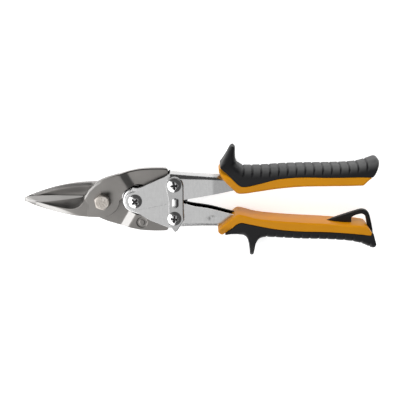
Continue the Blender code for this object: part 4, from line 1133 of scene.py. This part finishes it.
def lower_cover(look):
    """Black cover of the lower grip: finger spur, ribbed back, flared end, and the hang loop inside it."""
    heel = [(85.4, -23.9, 85.6, -22.8), (90.0, -24.2, 90.0, -18.8), (95.0, -24.6, 94.6, -15.4),
            (98.6, -25.2, 97.0, -14.7), (101.0, -27.4, 99.8, -15.2), (102.3, -32.0, 101.3, -15.6),
            (103.15, -38.0, 102.6, -15.9), (103.6, -41.0, 103.6, -16.1), (104.6, -41.55, 104.6, -16.3)]
    spur = [(104.6, -41.55, 104.6, -16.3), (105.6, -41.0, 105.6, -16.5), (106.15, -38.0, 106.6, -16.7),
            (106.9, -32.0, 107.8, -16.95), (109.2, -28.0, 109.6, -17.3), (112.0, -26.7, 112.5, -17.8),
            (116.0, -26.3, 116.0, -18.5)]
    back = [(116.0, -26.3, 116.0, -18.5), (122.0, -26.6, 122.0, -19.55), (137.5, -27.4, 137.5, -20.9),
            (151.7, -27.7, 152.0, -21.4), (163.8, -28.3, 164.0, -21.75), (175.6, -29.5, 175.6, -22.75),
            (182.0, -31.2, 182.0, -23.4), (187.6, -33.8, 186.6, -23.8)]
    end = [(187.6, -33.8, 186.6, -23.8), (189.3, -34.4, 187.5, -23.2), (191.3, -34.1, 188.0, -22.8),
           (192.3, -32.7, 188.3, -22.6), (191.7, -30.0, 188.6, -22.6), (190.6, -27.0, 188.9, -22.6),
           (189.7, -24.4, 189.2, -22.8)]
    grid = slab(rungs([heel, spur, back, end], 0.22), *both_faces(grip_half), rim=(4.5, 0.3),
                depth=(7.0, 0.3), steps=26)
    belly = height_at(grid[..., 0], [(110.0, -26.3), (122.0, -26.6), (151.7, -27.7), (175.6, -29.5),
                                     (190.0, -34.0)])
    cut = grooved(grid, LOWER_GROOVE_X, belly + 2.0, belly + 5.0)
    grid = grid - outward(grid) * (0.8 * GROOVE_DEPTH * cut)[..., None]
    # painted light on the ribs' crowns along the belly, and painted shade in the grooves
    outer = ease((belly - grid[..., 1] + 3.6) / 3.0) * ease((grid[..., 0] - 108.0) / 8.0)
    tone = 0.5 + 0.22 * outer - 0.5 * cut

    foot = [(156.9, -15.65, 157.0, -15.4), (162.0, -16.3, 162.5, -13.4), (169.4, -16.9, 168.4, -11.35),
            (173.4, -17.4, 172.4, -10.0), (174.2, -17.4, 173.2, -9.7)]
    bow = [(174.2, -17.4, 173.2, -9.7), (174.2, -16.3, 174.0, -9.45), (174.3, -13.4, 175.4, -8.95),
           (176.6, -11.6, 177.8, -8.2), (179.2, -10.75, 179.8, -7.6), (181.2, -10.4, 181.8, -7.3),
           (183.1, -11.1, 184.6, -8.0), (184.3, -12.6, 186.4, -9.7), (184.9, -14.6, 187.4, -12.2),
           (185.5, -17.4, 188.3, -15.5), (186.3, -20.0, 189.0, -18.3), (187.0, -22.4, 189.7, -21.6),
           (187.6, -24.6, 190.2, -24.6), (188.0, -27.0, 190.8, -27.0)]

    def half(x, y):
        return LOOP_FOOT + (LOOP_HALF - LOOP_FOOT) * ease((x - 155.5) / 9.0)

    loop = slab(rungs([foot, bow], 0.3), *both_faces(half), rim=(1.0, 1.2), depth=(1.0, 1.2), steps=12)
    tones = np.concatenate([np.ravel(tone), np.full(loop.shape[0] * loop.shape[1], LOOP_TONE)])
    piece("lower_black", [loft(grid), loft(loop)], look, ["lower_grip_cover"], tones)


# ---------------------------------------------------------------- stage
def softbox(name, place, aim, size, power, glossy):
    """Rectangular area light at a place, turned to its aim; polished metal shows it if it is glossy."""
    light = bpy.data.lights.new(name, "AREA")
    light.shape = "RECTANGLE"
    light.size, light.size_y = size
    light.energy = power
    obj = bpy.data.objects.new(name, light)
    obj.location = place
    obj.rotation_euler = (Vector(aim) - Vector(place)).to_track_quat("-Z", "Y").to_euler()
    obj.visible_glossy = glossy
    bpy.context.scene.collection.objects.link(obj)


def lay_floor():
    """White floor at the level of the grips' rear faces."""
    corners = [(-FLOOR_HALF, -FLOOR_HALF, 0.0), (FLOOR_HALF, -FLOOR_HALF, 0.0),
               (FLOOR_HALF, FLOOR_HALF, 0.0), (-FLOOR_HALF, FLOOR_HALF, 0.0)]
    mesh = bpy.data.meshes.new("floor")
    mesh.from_pydata(corners, [], [(0, 1, 2, 3)])
    mesh.materials.append(pale_floor())
    floor = bpy.data.objects.new("floor", mesh)
    bpy.context.scene.collection.objects.link(floor)


def studio():
    """Faint white surroundings and the soft lights.

    The light on the far side fills without showing in the polished metal.
    """
    world = bpy.data.worlds.new("studio")
    world.use_nodes = True
    sky = world.node_tree.nodes["Background"]
    sky.inputs["Color"].default_value = (1.0, 1.0, 1.0, 1.0)
    sky.inputs["Strength"].default_value = WORLD_GLOW
    bpy.context.scene.world = world
    for light in LIGHTS:
        softbox(*light)


def camera():
    """Camera over the tool, tilted towards +Y about the line that it looks at."""
    lens = bpy.data.cameras.new("camera")
    lens.lens = LENS
    lens.sensor_width = SENSOR
    lens.clip_start = 0.01
    aim = ORIGIN + np.array(CAMERA_AIM) * MM
    obj = bpy.data.objects.new("camera", lens)
    obj.location = aim + CAMERA_DISTANCE * np.array([0.0, math.sin(CAMERA_TILT), math.cos(CAMERA_TILT)])
    obj.rotation_euler = (-CAMERA_TILT, 0.0, 0.0)
    bpy.context.scene.collection.objects.link(obj)
    bpy.context.scene.camera = obj
    bpy.context.scene.view_settings.view_transform = "Standard"


def stage():
    """Floor, lights and camera."""
    lay_floor()
    studio()
    camera()


# ---------------------------------------------------------------- assembly
def build():
    """Makes every piece and gives the CAD nodes that stay their materials."""
    plated = chrome()
    polished = screw_chrome()
    machined = bolt_steel()
    wire = spring_steel()
    orange = orange_plastic()
    black = black_rubber()

    blades()
    upper_channel(plated)
    lower_channel(plated)
    latch(chrome("latch_chrome", 0.12))
    screw("fulcrum_screw_head", "fulcrum_screw", 45.0, polished)
    screw("upper_tang_screw_head", "upper_tang_screw", 5.0, polished)
    screw("lower_tang_screw_head", "lower_tang_screw", -8.0, polished)
    sleeve("fulcrum_sleeve_nut", "fulcrum_sleeve", OUTER_HALF, polished)
    sleeve("upper_tang_sleeve_nut", "upper_tang_sleeve", OUTER_HALF, polished)
    sleeve("lower_tang_sleeve_nut", "lower_tang_sleeve", INNER_HALF, polished)
    pivot_bolt(machined)
    pivot_nut(machined)
    pivot_washer(machined)
    spring(wire)
    upper_core(orange)
    upper_cover(black)
    lower_core(orange)
    lower_cover(black)

    for node, look in (("fulcrum_spacer", machined), ("upper_tang_spacer_front", machined),
                       ("upper_tang_spacer_rear", machined), ("latch_washer", wire),
                       ("latch_spacer", machined)):
        frame["nodes"][node].data.materials.clear()
        frame["nodes"][node].data.materials.append(look)


build()
stage()
